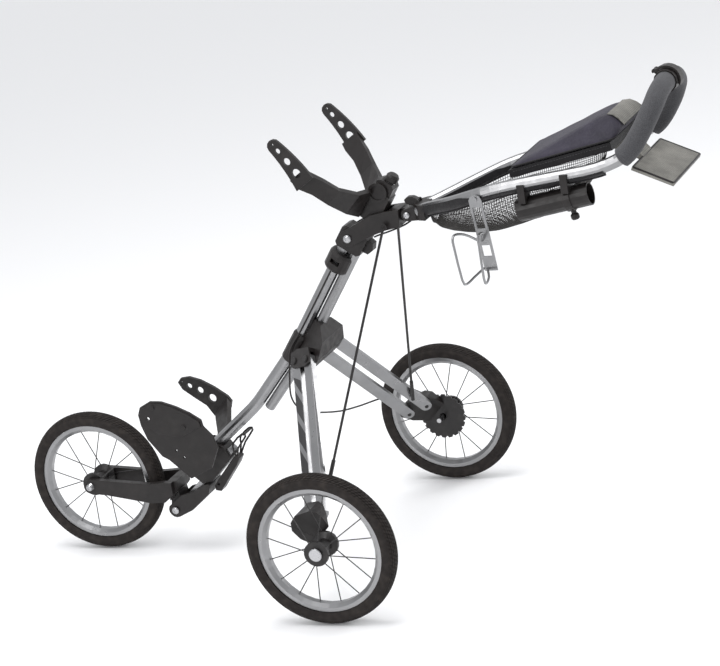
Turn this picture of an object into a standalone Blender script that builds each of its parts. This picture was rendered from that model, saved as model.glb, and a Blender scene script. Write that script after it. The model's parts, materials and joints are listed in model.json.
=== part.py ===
"""Three-wheel folding golf push cart, modelled at real size.

Metres, +Z up, +X to the cart's left, +Y to the rear (towards the handle).
The origin is on the ground under the middle of the cart.  Every dimension below
is given in the cart frame, whose Y = 0 is the rear axle line; the empty named
"cart" then shifts the whole cart so that the origin is centred under it.
"""
from math import atan2, cos, pi, radians, sin, sqrt

import bmesh
import bpy
from mathutils import Matrix, Vector

# ---------------------------------------------------------------- driving dimensions
CENTRE_SHIFT = 0.0556        # rear axle line to the middle of the cart's length
GAP = 0.0003                 # clearance between touching pieces

WHEEL_RADIUS = 0.150
TYRE_HALF_WIDTH = 0.0186
BEAD_RADIUS = 0.1245         # where the tyre sits on the rim
WHEEL_SIDES = 40
SPOKE_COUNT = 16
SPOKE_RADIUS = 0.0011
HUB_HALF_WIDTH = 0.028
AXLE_RADIUS = 0.0050
TRACK_HALF = 0.3626
WHEELBASE = 0.6542

FRONT_TUBE_RADIUS = 0.0128
REAR_TUBE_RADIUS = 0.0105
TUBE_SPACING = 0.0245        # between the axes of the two frame tubes
TUBE_HEAD = Vector((0.0, 0.0, 0.646))     # on the axis of the main tube, near its top
FOLD_PIVOT = Vector((0.0, 0.0080, 0.6500))
COLLAR_POINT = Vector((0.0, -0.152, 0.430))
BEND_POINT = Vector((0.0, -0.260, 0.308))
TOE_POINT = Vector((0.0, -0.372, 0.220))

TILT_PIVOT = Vector((0.0, 0.134, 0.688))
HANDLE_TUBE_RADIUS = 0.0122
GRIP_RADIUS = 0.0190
HANDLE_HALF_WIDTH = 0.117

LEG_DIRECTION = Vector((0.683, 0.240, -0.690)).normalized()
LEG_LENGTH = 0.331
FRONT_BAR_PIVOT = Vector((0.0460, -0.1320, 0.4090))
BAR_OFFSET = Vector((0.0184, 0.0335, 0.0104))
BAR_WIDTH = 0.0245
BAR_THICKNESS = 0.0120
PIN_RADIUS = 0.0040
ROD_RADIUS = 0.0028
ROD_FOOT_DISTANCE = 0.272    # from the rear bar's upper pivot to the rod's foot
ROD_TOP = Vector((0.0385, 0.0890, 0.6705))

FORK_PIVOT = Vector((0.0, -0.4730, 0.0910))
FORK_ARM_X = 0.0385

TUBE_UP = (TUBE_HEAD - COLLAR_POINT).normalized()
TUBE_BACK = Vector((0.0, TUBE_UP.z, -TUBE_UP.y))      # square to the tube, to the rear
PIN_AXIS = LEG_DIRECTION.cross(BAR_OFFSET).normalized()
ACROSS = Vector((1.0, 0.0, 0.0))

FINISHES = {
    "aluminium": ((0.62, 0.63, 0.64), 0.35, 0.9),
    "bright_steel": ((0.75, 0.75, 0.76), 0.22, 1.0),
    "black_plastic": ((0.030, 0.027, 0.027), 0.45, 0.0),
    "black_steel": ((0.045, 0.040, 0.040), 0.35, 0.6),
    "tyre_rubber": ((0.035, 0.030, 0.028), 0.85, 0.0),
    "grip_foam": ((0.085, 0.085, 0.090), 0.90, 0.0),
    "tray_fabric": ((0.045, 0.042, 0.060), 0.70, 0.0),
    "panel_grey": ((0.300, 0.290, 0.270), 0.70, 0.0),
    "mesh_grey": ((0.110, 0.105, 0.100), 0.90, 0.0),
}
PIVOTS = {}


# ---------------------------------------------------------------- scene helpers
def clear_scene():
    for obj in list(bpy.data.objects):
        bpy.data.objects.remove(obj, do_unlink=True)


def make_materials():
    for name, (colour, roughness, metallic) in FINISHES.items():
        material = bpy.data.materials.new(name)
        material.use_nodes = True
        shader = material.node_tree.nodes["Principled BSDF"]
        shader.inputs["Base Color"].default_value = (*colour, 1.0)
        shader.inputs["Roughness"].default_value = roughness
        shader.inputs["Metallic"].default_value = metallic


def add_body(name, pivot, parent=None):
    """An empty on a joint's axis, which carries the pieces that move together."""
    empty = bpy.data.objects.new(name + "_body", None)
    bpy.context.collection.objects.link(empty)
    PIVOTS[name] = Vector(pivot)
    if parent is None:
        empty.location = Vector((0.0, CENTRE_SHIFT, 0.0))
    else:
        empty.parent = bpy.data.objects[parent + "_body"]
        empty.location = PIVOTS[name] - PIVOTS[parent]


def add_object(name, mesh, finish, body):
    obj = bpy.data.objects.new(name, mesh)
    if not mesh.materials:
        mesh.materials.append(bpy.data.materials[finish])
    bpy.context.collection.objects.link(obj)
    obj.parent = bpy.data.objects[body + "_body"]
    return obj


def add_piece(name, shape, finish, body, sharp=35.0, local=False):
    """Turn a bmesh drawn in the cart frame (or round its own axle) into an object."""
    if not local:
        bmesh.ops.translate(shape, verts=shape.verts, vec=-PIVOTS[body])
    bmesh.ops.recalc_face_normals(shape, faces=shape.faces)
    mesh = bpy.data.meshes.new(name)
    shape.to_mesh(mesh)
    shape.free()
    mesh.shade_smooth()
    mesh.set_sharp_from_angle(angle=radians(sharp))
    return add_object(name, mesh, finish, body)


# ---------------------------------------------------------------- shape helpers
def skin(rings, closed=False):
    """Join equal rings of points with quads; cap both ends unless it closes on itself."""
    shape = bmesh.new()
    loops = [[shape.verts.new(point) for point in ring] for ring in rings]
    count = len(loops[0])
    pairs = list(zip(loops, loops[1:]))
    if closed:
        pairs.append((loops[-1], loops[0]))
    for low, high in pairs:
        for i in range(count):
            j = (i + 1) % count
            shape.faces.new((low[i], low[j], high[j], high[i]))
    if not closed:
        shape.faces.new(loops[0][::-1])
        shape.faces.new(loops[-1])
    bmesh.ops.recalc_face_normals(shape, faces=shape.faces)
    return shape


def circle(centre, first, second, radius, sides):
    return [centre + (first * cos(2 * pi * i / sides) + second * sin(2 * pi * i / sides)) * radius
            for i in range(sides)]


def frames_along(points, start=None):
    """Direction and two square vectors at each point, carried along without twist."""
    frames = []
    side = start
    for i, point in enumerate(points):
        ahead = points[min(i + 1, len(points) - 1)] - points[max(i - 1, 0)]
        ahead = ahead.normalized()
        if side is None:
            side = ahead.orthogonal()
        side = (side - ahead * side.dot(ahead)).normalized()
        frames.append((point, ahead, side, ahead.cross(side)))
    return frames


def swept(points, radius, sides=12, start=None):
    return skin([circle(p, a, b, radius, sides) for p, _, a, b in frames_along(points, start)])


def swept_sleeve(points, outer, inner, sides=14, start=None):
    """A tube with an open bore, swept along the points."""
    frames = frames_along(points, start)
    outside = [circle(p, a, b, outer, sides) for p, _, a, b in frames]
    inside = [circle(p, a, b, inner, sides) for p, _, a, b in frames]
    shape = bmesh.new()
    out = [[shape.verts.new(point) for point in ring] for ring in outside]
    bore = [[shape.verts.new(point) for point in ring] for ring in inside]
    for loops in (out, bore):
        for low, high in zip(loops, loops[1:]):
            for i in range(sides):
                j = (i + 1) % sides
                shape.faces.new((low[i], low[j], high[j], high[i]))
    for end in (0, -1):
        for i in range(sides):
            j = (i + 1) % sides
            shape.faces.new((out[end][i], out[end][j], bore[end][j], bore[end][i]))
    bmesh.ops.recalc_face_normals(shape, faces=shape.faces)
    return shape


def rod(start, end, radius, sides=12):
    return swept([Vector(start), Vector(end)], radius, sides)


def turned(profile, sides, centre=Vector((0, 0, 0)), axis=ACROSS):
    """Revolve (along, radius) points round an axis; the profile is a closed outline."""
    first = axis.orthogonal().normalized() if abs(axis.x) < 0.99 else Vector((0, 0, 1))
    second = axis.cross(first)
    rings = []
    for i in range(sides):
        angle = 2 * pi * i / sides
        out = first * cos(angle) + second * sin(angle)
        rings.append([centre + axis * along + out * radius for along, radius in profile])
    return skin(rings, closed=True)


def prism(outline, low, high, origin=Vector((0, 0, 0)), axes=None):
    """Extrude a flat outline of (a, b) points from low to high along the third axis."""
    a_axis, b_axis, depth = axes or (Vector((0, 1, 0)), Vector((0, 0, 1)), ACROSS)
    base = [origin + a_axis * a + b_axis * b for a, b in outline]
    return skin([[p + depth * low for p in base], [p + depth * high for p in base]])


def box(low, high, bevel=0.0):
    shape = prism([(low[1], low[2]), (high[1], low[2]), (high[1], high[2]), (low[1], high[2])],
                  low[0], high[0])
    if bevel:
        bmesh.ops.bevel(shape, geom=shape.edges[:], offset=bevel, segments=1, affect="EDGES")
    return shape


def ribbon(stations):
    """Loft of rectangles: each station is (centre, half width vector, half depth vector)."""
    return skin([[c + w + d, c - w + d, c - w - d, c + w - d] for c, w, d in stations])


def combine(first, second, operation):
    """Boolean of two closed shapes, returned as a new shape."""
    helpers = []
    for shape in (first, second):
        bmesh.ops.recalc_face_normals(shape, faces=shape.faces)
        mesh = bpy.data.meshes.new("helper")
        shape.to_mesh(mesh)
        shape.free()
        helper = bpy.data.objects.new("helper", mesh)
        bpy.context.collection.objects.link(helper)
        helpers.append(helper)
    modifier = helpers[0].modifiers.new("combine", "BOOLEAN")
    modifier.operation = operation
    modifier.solver = "EXACT"
    modifier.object = helpers[1]
    graph = bpy.context.evaluated_depsgraph_get()
    result = bmesh.new()
    result.from_object(helpers[0], graph)
    for helper in helpers:
        bpy.data.objects.remove(helper, do_unlink=True)
    return result


def cut(shape, *tools):
    for tool in tools:
        shape = combine(shape, tool, "DIFFERENCE")
    return shape


def halved(shape, point, normal):
    """Keep the part of a shape that lies ahead of a plane, and close the cut."""
    geometry = shape.verts[:] + shape.edges[:] + shape.faces[:]
    result = bmesh.ops.bisect_plane(shape, geom=geometry, plane_co=point, plane_no=normal,
                                    clear_inner=True)
    edges = [item for item in result["geom_cut"] if isinstance(item, bmesh.types.BMEdge)]
    bmesh.ops.contextual_create(shape, geom=edges)
    return shape


def joined(shape, *others):
    for other in others:
        shape = combine(shape, other, "UNION")
    return shape


def smooth_path(points, per_span=4):
    """Catmull-Rom curve through the points."""
    points = [Vector(p) for p in points]
    ends = [points[0] * 2 - points[1]] + points + [points[-1] * 2 - points[-2]]
    path = []
    for i in range(1, len(ends) - 2):
        before, start, stop, after = ends[i - 1:i + 3]
        for step in range(per_span):
            t = step / per_span
            path.append(0.5 * (2 * start + (stop - before) * t
                               + (2 * before - 5 * start + 4 * stop - after) * t ** 2
                               + (3 * start - before - 3 * stop + after) * t ** 3))
    path.append(points[-1])
    return path


def arc_points(centre, radius, start, stop, steps):
    """Flat (a, b) points on an arc, angles in degrees."""
    return [(centre[0] + radius * cos(radians(start + (stop - start) * i / steps)),
             centre[1] + radius * sin(radians(start + (stop - start) * i / steps)))
            for i in range(steps + 1)]


def mirrored(vector, side):
    return Vector((vector[0] * side, vector[1], vector[2]))


def mirrored_axis(vector, side):
    """A turning axis seen in the mirror keeps its sense of turning."""
    return Vector((vector[0], vector[1] * side, vector[2] * side))


# ---------------------------------------------------------------- wheels
def make_wheel_meshes():
    tyre = [(-0.0125, BEAD_RADIUS), (0.0125, BEAD_RADIUS), (0.0172, 0.1300),
            (TYRE_HALF_WIDTH, 0.1370), (0.0160, 0.1440), (0.0090, 0.1485), (0.0, WHEEL_RADIUS),
            (-0.0090, 0.1485), (-0.0160, 0.1440), (-TYRE_HALF_WIDTH, 0.1370), (-0.0172, 0.1300)]
    rim_top = BEAD_RADIUS - 2 * GAP
    rim = [(-0.0125, rim_top), (0.0125, rim_top), (0.0125, 0.1160), (0.0060, 0.1095),
           (-0.0060, 0.1095), (-0.0125, 0.1160)]
    hub = [(-HUB_HALF_WIDTH, 0.0058), (-HUB_HALF_WIDTH, 0.0245), (-0.0215, 0.0245),
           (-0.0170, 0.0135), (0.0170, 0.0135), (0.0215, 0.0245), (HUB_HALF_WIDTH, 0.0245),
           (HUB_HALF_WIDTH, 0.0058)]
    hub_shape = turned(hub, 20)
    for i in range(SPOKE_COUNT):
        angle = 2 * pi * (i + 0.5) / SPOKE_COUNT
        outward = Vector((0.0, cos(angle), sin(angle)))
        flange = 0.0245 if i % 2 else -0.0245
        spoke = rod(outward * 0.0200 + ACROSS * flange, outward * 0.1084, SPOKE_RADIUS, 5)
        hub_shape = joined(hub_shape, spoke)
    return turned(tyre, WHEEL_SIDES), turned(rim, WHEEL_SIDES), hub_shape


def make_wheels():
    tyre, rim, hub = make_wheel_meshes()
    first = {}
    for piece, shape, finish in (("tyre", tyre, "tyre_rubber"), ("rim", rim, "aluminium"),
                                 ("spoked_hub", hub, "black_steel")):
        first[piece] = add_piece(piece + "_left", shape, finish, "wheel_left", local=True)
        for place in ("right", "front"):
            add_object(f"{piece}_{place}", first[piece].data, finish, "wheel_" + place)


def make_axle(name, inner, outer, body, centre, side):
    """Shouldered axle bolt: shank, and the round end cap outside the hub."""
    cap = HUB_HALF_WIDTH + 2 * GAP
    profile = [(inner, AXLE_RADIUS), (cap, AXLE_RADIUS), (cap, 0.0130), (outer - 0.001, 0.0130),
               (outer, 0.0115)]
    rings = [circle(centre + ACROSS * along * side, Vector((0, 1, 0)), Vector((0, 0, 1)),
                    radius, 16) for along, radius in profile]
    return add_piece(name, skin(rings), "bright_steel", body)


def make_brake_ring():
    """Toothed parking-brake disc on the inner face of the right hub."""
    teeth = 20
    outline = []
    for i in range(teeth):
        for part, radius in ((0.0, 0.0450), (0.25, 0.0450), (0.35, 0.0485), (0.9, 0.0485)):
            angle = 2 * pi * (i + part) / teeth
            outline.append((radius * cos(angle), radius * sin(angle)))
    low = HUB_HALF_WIDTH + GAP
    disc = prism(outline, low, low + 0.0055)
    core = rod((low - 0.01, 0, 0), (low + 0.02, 0, 0), 0.0072, 16)
    shape = cut(disc, core)
    return add_piece("brake_ring_right", shape, "black_steel", "wheel_right", local=True)


# ---------------------------------------------------------------- rear legs
def bar_between(top, bottom, holes):
    """Flat leg bar with round ends, drilled square to the leg's plane."""
    along = (bottom - top).normalized()
    normal = holes
    across = normal.cross(along)
    length = (bottom - top).length
    half = BAR_WIDTH / 2
    end = half - 0.0005
    outline = (arc_points((0.0, 0.0), end, 90, 270, 6)
               + arc_points((length, 0.0), end, -90, 90, 6))
    shape = prism(outline, -BAR_THICKNESS / 2, BAR_THICKNESS / 2, top, (along, across, normal))
    for place in (top, bottom):
        tool = rod(place - normal * 0.02, place + normal * 0.02, PIN_RADIUS + GAP, 12)
        shape = cut(shape, tool)
    return shape


def make_leg(side, label):
    normal = mirrored(PIN_AXIS, side)
    direction = mirrored(LEG_DIRECTION, side)
    front = mirrored(FRONT_BAR_PIVOT, side)
    rear = mirrored(FRONT_BAR_PIVOT + BAR_OFFSET, side)
    add_piece("leg_front_bar_" + label, bar_between(front, front + direction * LEG_LENGTH, normal),
              "aluminium", "leg_front_bar_" + label)
    shape = bar_between(rear, rear + direction * LEG_LENGTH, normal)
    foot = rear + direction * ROD_FOOT_DISTANCE
    lug_low = foot - normal * (BAR_THICKNESS / 2 - 0.001)
    lug = rod(lug_low, foot - normal * (BAR_THICKNESS / 2 + 0.006), 0.0045, 10)
    add_piece("leg_rear_bar_" + label, joined(shape, lug), "aluminium", "leg_rear_bar_" + label)
    for place, name in ((front, "leg_pin_front_"), (rear, "leg_pin_rear_")):
        reach = BAR_THICKNESS / 2
        pin = [(-reach - 0.012, PIN_RADIUS), (reach + 0.0041, PIN_RADIUS),
               (reach + 0.0041, 0.0078), (reach + 0.0071, 0.0066)]
        rings = [circle(place + normal * along, *square_to(normal), radius, 12)
                 for along, radius in pin]
        add_piece(name + label, skin(rings), "black_steel", "cart")


def square_to(axis):
    first = axis.orthogonal().normalized()
    return first, axis.cross(first)


def make_leg_end(side, label):
    """Moulded bracket at the foot of a leg: two bar journals and the axle boss."""
    normal = mirrored(PIN_AXIS, side)
    front = mirrored(FRONT_BAR_PIVOT + LEG_DIRECTION * LEG_LENGTH, side)
    rear = mirrored(FRONT_BAR_PIVOT + BAR_OFFSET + LEG_DIRECTION * LEG_LENGTH, side)
    axle = Vector((0.0, 0.0, WHEEL_RADIUS))
    outline = (arc_points((axle.y, axle.z), 0.0200, -100, 40, 6)
               + [(rear.y + 0.0150, rear.z + 0.0060), (rear.y + 0.0040, rear.z + 0.0165),
                  (rear.y - 0.0120, rear.z + 0.0190), (front.y - 0.0080, front.z + 0.0200),
                  (front.y - 0.0190, front.z + 0.0060), (front.y - 0.0190, front.z - 0.0100),
                  (front.y - 0.0040, front.z - 0.0270)])
    outer = TRACK_HALF - HUB_HALF_WIDTH - 0.0068
    block = prism(outline, 0.262 * side, outer * side)
    block = halved(block, front + normal * (BAR_THICKNESS / 2 + 0.0006), normal)
    for place in (front, rear):
        low = place - normal * (BAR_THICKNESS / 2 + 0.0010)
        journal = rod(low, place + normal * (BAR_THICKNESS / 2 + 0.008), PIN_RADIUS, 12)
        block = joined(block, journal)
    bore = rod(mirrored(Vector((0.240, 0.0, WHEEL_RADIUS)), side),
               mirrored(Vector((0.350, 0.0, WHEEL_RADIUS)), side), AXLE_RADIUS + GAP, 16)
    add_piece("leg_end_" + label, cut(block, bore), "black_plastic", "leg_end_" + label)
    make_axle("axle_" + label, -(TRACK_HALF - 0.302), 0.0335, "leg_end_" + label,
              mirrored(Vector((TRACK_HALF, 0.0, WHEEL_RADIUS)), side), side)


def rod_foot(side):
    """Point beside the rear bar where the fold rod is pinned when the cart is open."""
    rear = FRONT_BAR_PIVOT + BAR_OFFSET
    return mirrored(rear + LEG_DIRECTION * ROD_FOOT_DISTANCE
                    - PIN_AXIS * (BAR_THICKNESS / 2 + 0.0115), side)


def rod_turn_axis():
    """Axis on the fold arm about which the left rod swings between open and folded."""
    start = (rod_foot(1) - ROD_TOP).normalized()
    turn = Matrix.Rotation(radians(LEG_FOLD_DEGREES), 3, -PIN_AXIS)
    rear = FRONT_BAR_PIVOT + BAR_OFFSET
    folded_foot = rear + turn @ (rod_foot(1) - rear)
    arm = Matrix.Rotation(radians(-ARM_FOLD_DEGREES), 3, "X")
    folded_top = FOLD_PIVOT + arm @ (ROD_TOP - FOLD_PIVOT)
    stop = (arm.inverted() @ (folded_foot - folded_top)).normalized()
    return start.cross(stop).normalized(), start.angle(stop)


LEG_FOLD_DEGREES = 64.0
ARM_FOLD_DEGREES = 74.0


def make_rod(side, label):
    axis = mirrored_axis(rod_turn_axis()[0], side)
    top = mirrored(ROD_TOP, side)
    foot = rod_foot(side)
    along = (foot - top).normalized()
    eye = turned([(-0.0028, 0.0033), (-0.0028, 0.0068), (0.0028, 0.0068), (0.0028, 0.0033)], 12,
                 top, axis)
    shank = rod(top + along * 0.0052, foot - along * 0.004, ROD_RADIUS, 8)
    sleeve = rod(foot - along * 0.052, foot + along * 0.001, 0.0042, 8)
    add_piece("fold_rod_" + label, joined(shank, sleeve, eye), "black_steel", "fold_rod_" + label)


# ---------------------------------------------------------------- frame
def tube_point(along, back=0.0):
    """A point near the upper frame tube: along it from its head, and behind it."""
    return TUBE_HEAD + TUBE_UP * along + TUBE_BACK * back


def front_tube_path():
    lower = (BEND_POINT - COLLAR_POINT).normalized()
    toe = (TOE_POINT - BEND_POINT).normalized()
    bend = [BEND_POINT - lower * 0.030, BEND_POINT - lower * 0.012 + toe * 0.002,
            BEND_POINT + toe * 0.012 - lower * 0.002, BEND_POINT + toe * 0.030]
    return [tube_point(0.019), COLLAR_POINT + TUBE_UP * 0.010, COLLAR_POINT - TUBE_UP * 0.010] \
        + bend + [TOE_POINT]


def rear_tube_path():
    lower = (COLLAR_POINT - BEND_POINT).normalized()
    back = Vector((0.0, lower.z, -lower.y))
    knee = COLLAR_POINT + TUBE_BACK * TUBE_SPACING
    foot = BEND_POINT + back * TUBE_SPACING + lower * 0.012
    return [tube_point(0.146, TUBE_SPACING), knee + TUBE_UP * 0.010, knee + (foot - knee) * 0.08,
            foot]


def tube_block(low, high, front, back, half):
    """A moulding clamped round both frame tubes, between two heights along them."""
    outline = [(front + 0.006, low), (back - 0.006, low), (back, low + 0.006), (back, high - 0.006),
               (back - 0.006, high), (front + 0.006, high), (front, high - 0.006),
               (front, low + 0.006)]
    return prism(outline, -half, half, TUBE_HEAD, (TUBE_BACK, TUBE_UP, ACROSS))


def across_rod(place, half, radius, sides=14):
    """A rod across the cart, centred on its middle plane."""
    return rod((-half, place[1], place[2]), (half, place[1], place[2]), radius, sides)


def make_frame_tubes():
    front = front_tube_path()
    bore = across_rod(FOLD_PIVOT, 0.03, 0.0056)
    shape = cut(swept(front, FRONT_TUBE_RADIUS, 14, ACROSS), bore)
    add_piece("main_tube", shape, "aluminium", "cart")
    rear = swept(rear_tube_path(), REAR_TUBE_RADIUS, 12, ACROSS)
    add_piece("upper_tube", rear, "aluminium", "cart")
    top = tube_point(0.146, TUBE_SPACING)
    cap = skin([circle(top + TUBE_UP * along, ACROSS, TUBE_BACK, radius, 16) for along, radius in
                ((GAP, 0.0130), (0.010, 0.0130), (0.015, 0.0095))])
    add_piece("upper_tube_cap", cap, "black_plastic", "cart")


def tube_tools(extra=2 * GAP):
    return (swept(front_tube_path(), FRONT_TUBE_RADIUS + extra, 14, ACROSS),
            swept(rear_tube_path(), REAR_TUBE_RADIUS + extra, 12, ACROSS))


def make_top_clamp():
    """Moulding at the head of the main tube; it takes the fold bolt, and its bumper behind
    the upper tube sits in the slot of the fold arm."""
    block = tube_block(-0.020, 0.026, -0.0175, 0.0385, 0.0205)
    bumper = prism([(0.0300, -0.0100), (0.0500, -0.0080), (0.0550, 0.0040), (0.0500, 0.0170),
                    (0.0300, 0.0200)], -0.0100, 0.0100, TUBE_HEAD, (TUBE_BACK, TUBE_UP, ACROSS))
    front, rear = tube_tools()
    shape = cut(joined(block, bumper), front, rear, across_rod(FOLD_PIVOT, 0.03, 0.0056))
    add_piece("top_clamp", shape, "black_plastic", "cart")


def make_lock_collar():
    """Round strap collar below the clamp, with a window in its left face."""
    centre = tube_point(-0.052, 0.004)
    collar = skin([circle(centre + TUBE_UP * along, ACROSS, TUBE_BACK, radius, 20)
                   for along, radius in ((-0.021, 0.0235), (-0.017, 0.0265), (0.012, 0.0265),
                                         (0.018, 0.0235))])
    window = prism([(-0.0130, -0.005), (0.0070, -0.005), (0.0070, 0.004), (-0.0130, 0.004)],
                   0.008, 0.030, centre, (TUBE_BACK, TUBE_UP, ACROSS))
    front, rear = tube_tools()
    add_piece("lock_collar", cut(collar, front, rear, window), "black_plastic", "cart")


def pin_cheek(side):
    """Cheek over the two leg pins of one side, and the web that joins it to the block."""
    normal = mirrored(PIN_AXIS, side)
    along = mirrored(LEG_DIRECTION, side)
    over = mirrored(BAR_OFFSET, side)
    over = (over - along * over.dot(along)).normalized()
    origin = mirrored(FRONT_BAR_PIVOT, side)
    axes = (along, over, normal)
    outer = BAR_THICKNESS / 2 + 0.0038
    cheek = prism([(-0.0215, -0.0090), (0.0050, -0.0135), (0.0130, -0.0060), (0.0275, 0.0330),
                   (0.0250, 0.0480), (0.0120, 0.0510), (-0.0070, 0.0490), (-0.0215, 0.0120)],
                  BAR_THICKNESS / 2 + 0.0006, outer, origin, axes)
    web = prism([(-0.0135, -0.0090), (-0.0135, 0.0100), (-0.0008, 0.0460), (-0.0080, 0.0480),
                 (-0.0215, 0.0120), (-0.0215, -0.0080)], -0.0100, outer - 0.0010, origin, axes)
    holes = [rod(place + normal * 0.004, place + normal * 0.020, PIN_RADIUS + GAP, 12)
             for place in (origin, mirrored(FRONT_BAR_PIVOT + BAR_OFFSET, side))]
    return cut(cheek, *holes), web


def make_junction_block():
    """Collar round both tubes at their kink, with the block that carries the leg pins."""
    outline = [(-0.1250, 0.4720), (-0.1010, 0.4850), (-0.0800, 0.4760), (-0.0700, 0.4500),
               (-0.0790, 0.4180), (-0.0930, 0.4010), (-0.1200, 0.3960), (-0.1440, 0.3980),
               (-0.1560, 0.4180)]
    block = prism(outline, -0.070, 0.070)
    for side in (1, -1):
        normal = mirrored(PIN_AXIS, side)
        face = mirrored(FRONT_BAR_PIVOT, side) - normal * (BAR_THICKNESS / 2 + 0.0006)
        block = halved(block, face, -normal)
    for side in (1, -1):
        normal = mirrored(PIN_AXIS, side)
        for pivot in (FRONT_BAR_PIVOT, FRONT_BAR_PIVOT + BAR_OFFSET):
            place = mirrored(pivot, side)
            tool = rod(place - normal * (BAR_THICKNESS / 2 + 0.0123), place + normal * 0.02,
                       PIN_RADIUS + GAP, 12)
            block = cut(block, tool)
    for side in (1, -1):
        block = joined(block, *pin_cheek(side))
    collar = skin([circle(COLLAR_POINT + TUBE_UP * along + TUBE_BACK * 0.004, ACROSS, TUBE_BACK,
                          radius, 16)
                   for along, radius in ((-0.033, 0.0190), (-0.030, 0.0215), (0.026, 0.0205),
                                         (0.031, 0.0180))])
    front, rear = tube_tools()
    add_piece("junction_block", cut(joined(block, collar), front, rear), "black_plastic", "cart")


# ---------------------------------------------------------------- bag cradles
def banana(origin, along, across, length, root_half, tip_half, bow, steps=6):
    """Outline of a cradle pad: tapering, slightly bowed, with a round tip."""
    upper, lower = [], []
    for i in range(steps + 1):
        t = i / steps
        half = root_half + (tip_half - root_half) * t
        shift = bow * (1 - (2 * t - 1) ** 2)
        upper.append((length * t, shift + half))
        lower.append((length * t, shift - half))
    tip = [(length + tip_half * sin(radians(a)), tip_half * cos(radians(a)))
           for a in (30, 60, 90, 120, 150)]
    return upper + tip + lower[::-1]


def pad_with_holes(centre, along, across, depth, length, root_half, tip_half, bow, thickness,
                   holes):
    outline = banana(centre, along, across, length, root_half, tip_half, bow)
    shape = prism(outline, -thickness / 2, thickness / 2, centre, (along, across, depth))
    for distance, lift, radius in holes:
        place = centre + along * distance + across * lift
        tool = rod(place - depth * 0.03, place + depth * 0.03, radius, 14)
        shape = cut(shape, tool)
    return shape


UPPER_PAD_X = 0.1380
LEFT_GUARD_X = 0.0875
RIGHT_PAD_X = 0.1010


def make_upper_cradle():
    """Y-shaped bag bracket on the upper tube: a base with two arms, and two end pads."""
    up = Vector((0.0, 0.577, 0.817))
    stations = []
    path = [(0.1440, -0.0280, 0.8140), (0.1300, -0.0160, 0.7960), (0.1140, 0.0030, 0.7780),
            (0.0930, 0.0220, 0.7520), (0.0620, 0.0430, 0.7290), (0.0300, 0.0520, 0.7190)]
    turns = [0.0, 0.0, 0.25, 0.5, 0.75, 1.0]
    widths = [0.0215, 0.0200, 0.0185, 0.0190, 0.0235, 0.0290]
    outer = Vector((0.0, 0.84, 0.54)).normalized()
    left = []
    for point, turn, width in zip(path, turns, widths):
        left.append((Vector(point), turn, width))
    both = left + [(mirrored(p, -1), t, w) for p, t, w in reversed(left)]
    for i, (point, turn, width) in enumerate(both):
        before = both[max(i - 1, 0)][0]
        after = both[min(i + 1, len(both) - 1)][0]
        along = (after - before).normalized()
        wide = (outer * (1 - turn) + up * turn).normalized()
        wide = (wide - along * wide.dot(along)).normalized()
        thick = along.cross(wide)
        stations.append((point, wide * width, thick * 0.0055))
    band = ribbon(stations)
    saddle = tube_block(0.058, 0.122, -0.0005, 0.0415, 0.0200)
    head = tube_block(0.112, 0.1448, 0.0030, 0.0395, 0.0165)
    boss = rod(tube_point(0.119, 0.015) - ACROSS * 0.0222, tube_point(0.119, 0.015)
               + ACROSS * 0.0222, 0.0195, 20)
    shape = joined(band, saddle, head, boss)
    for side in (1, -1):
        dish = rod(tube_point(0.119, 0.015) + ACROSS * 0.0200 * side,
                   tube_point(0.119, 0.015) + ACROSS * 0.0300 * side, 0.0145, 16)
        shape = cut(shape, dish)
    for side in (1, -1):
        shape = halved(shape, ACROSS * (UPPER_PAD_X - 0.0041) * side, -ACROSS * side)
    front, rear = tube_tools()
    front.free()
    add_piece("upper_cradle_base", cut(shape, rear), "black_plastic", "cart")
    along = Vector((0.0, -0.545, 0.838)).normalized()
    across = Vector((0.0, 0.838, 0.545)).normalized()
    holes = [(0.0260, 0.001, 0.0090), (0.0540, 0.001, 0.0075), (0.0800, 0.000, 0.0055),
             (0.0955, 0.000, 0.0025)]
    for side, label in ((1, "left"), (-1, "right")):
        root = Vector((UPPER_PAD_X * side, -0.0160, 0.7990)) - along * 0.010
        pad = pad_with_holes(root, along, across, ACROSS, 0.092, 0.0215, 0.0130, 0.003, 0.0075,
                             holes)
        add_piece("upper_cradle_pad_" + label, pad, "black_plastic", "cart")


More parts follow.
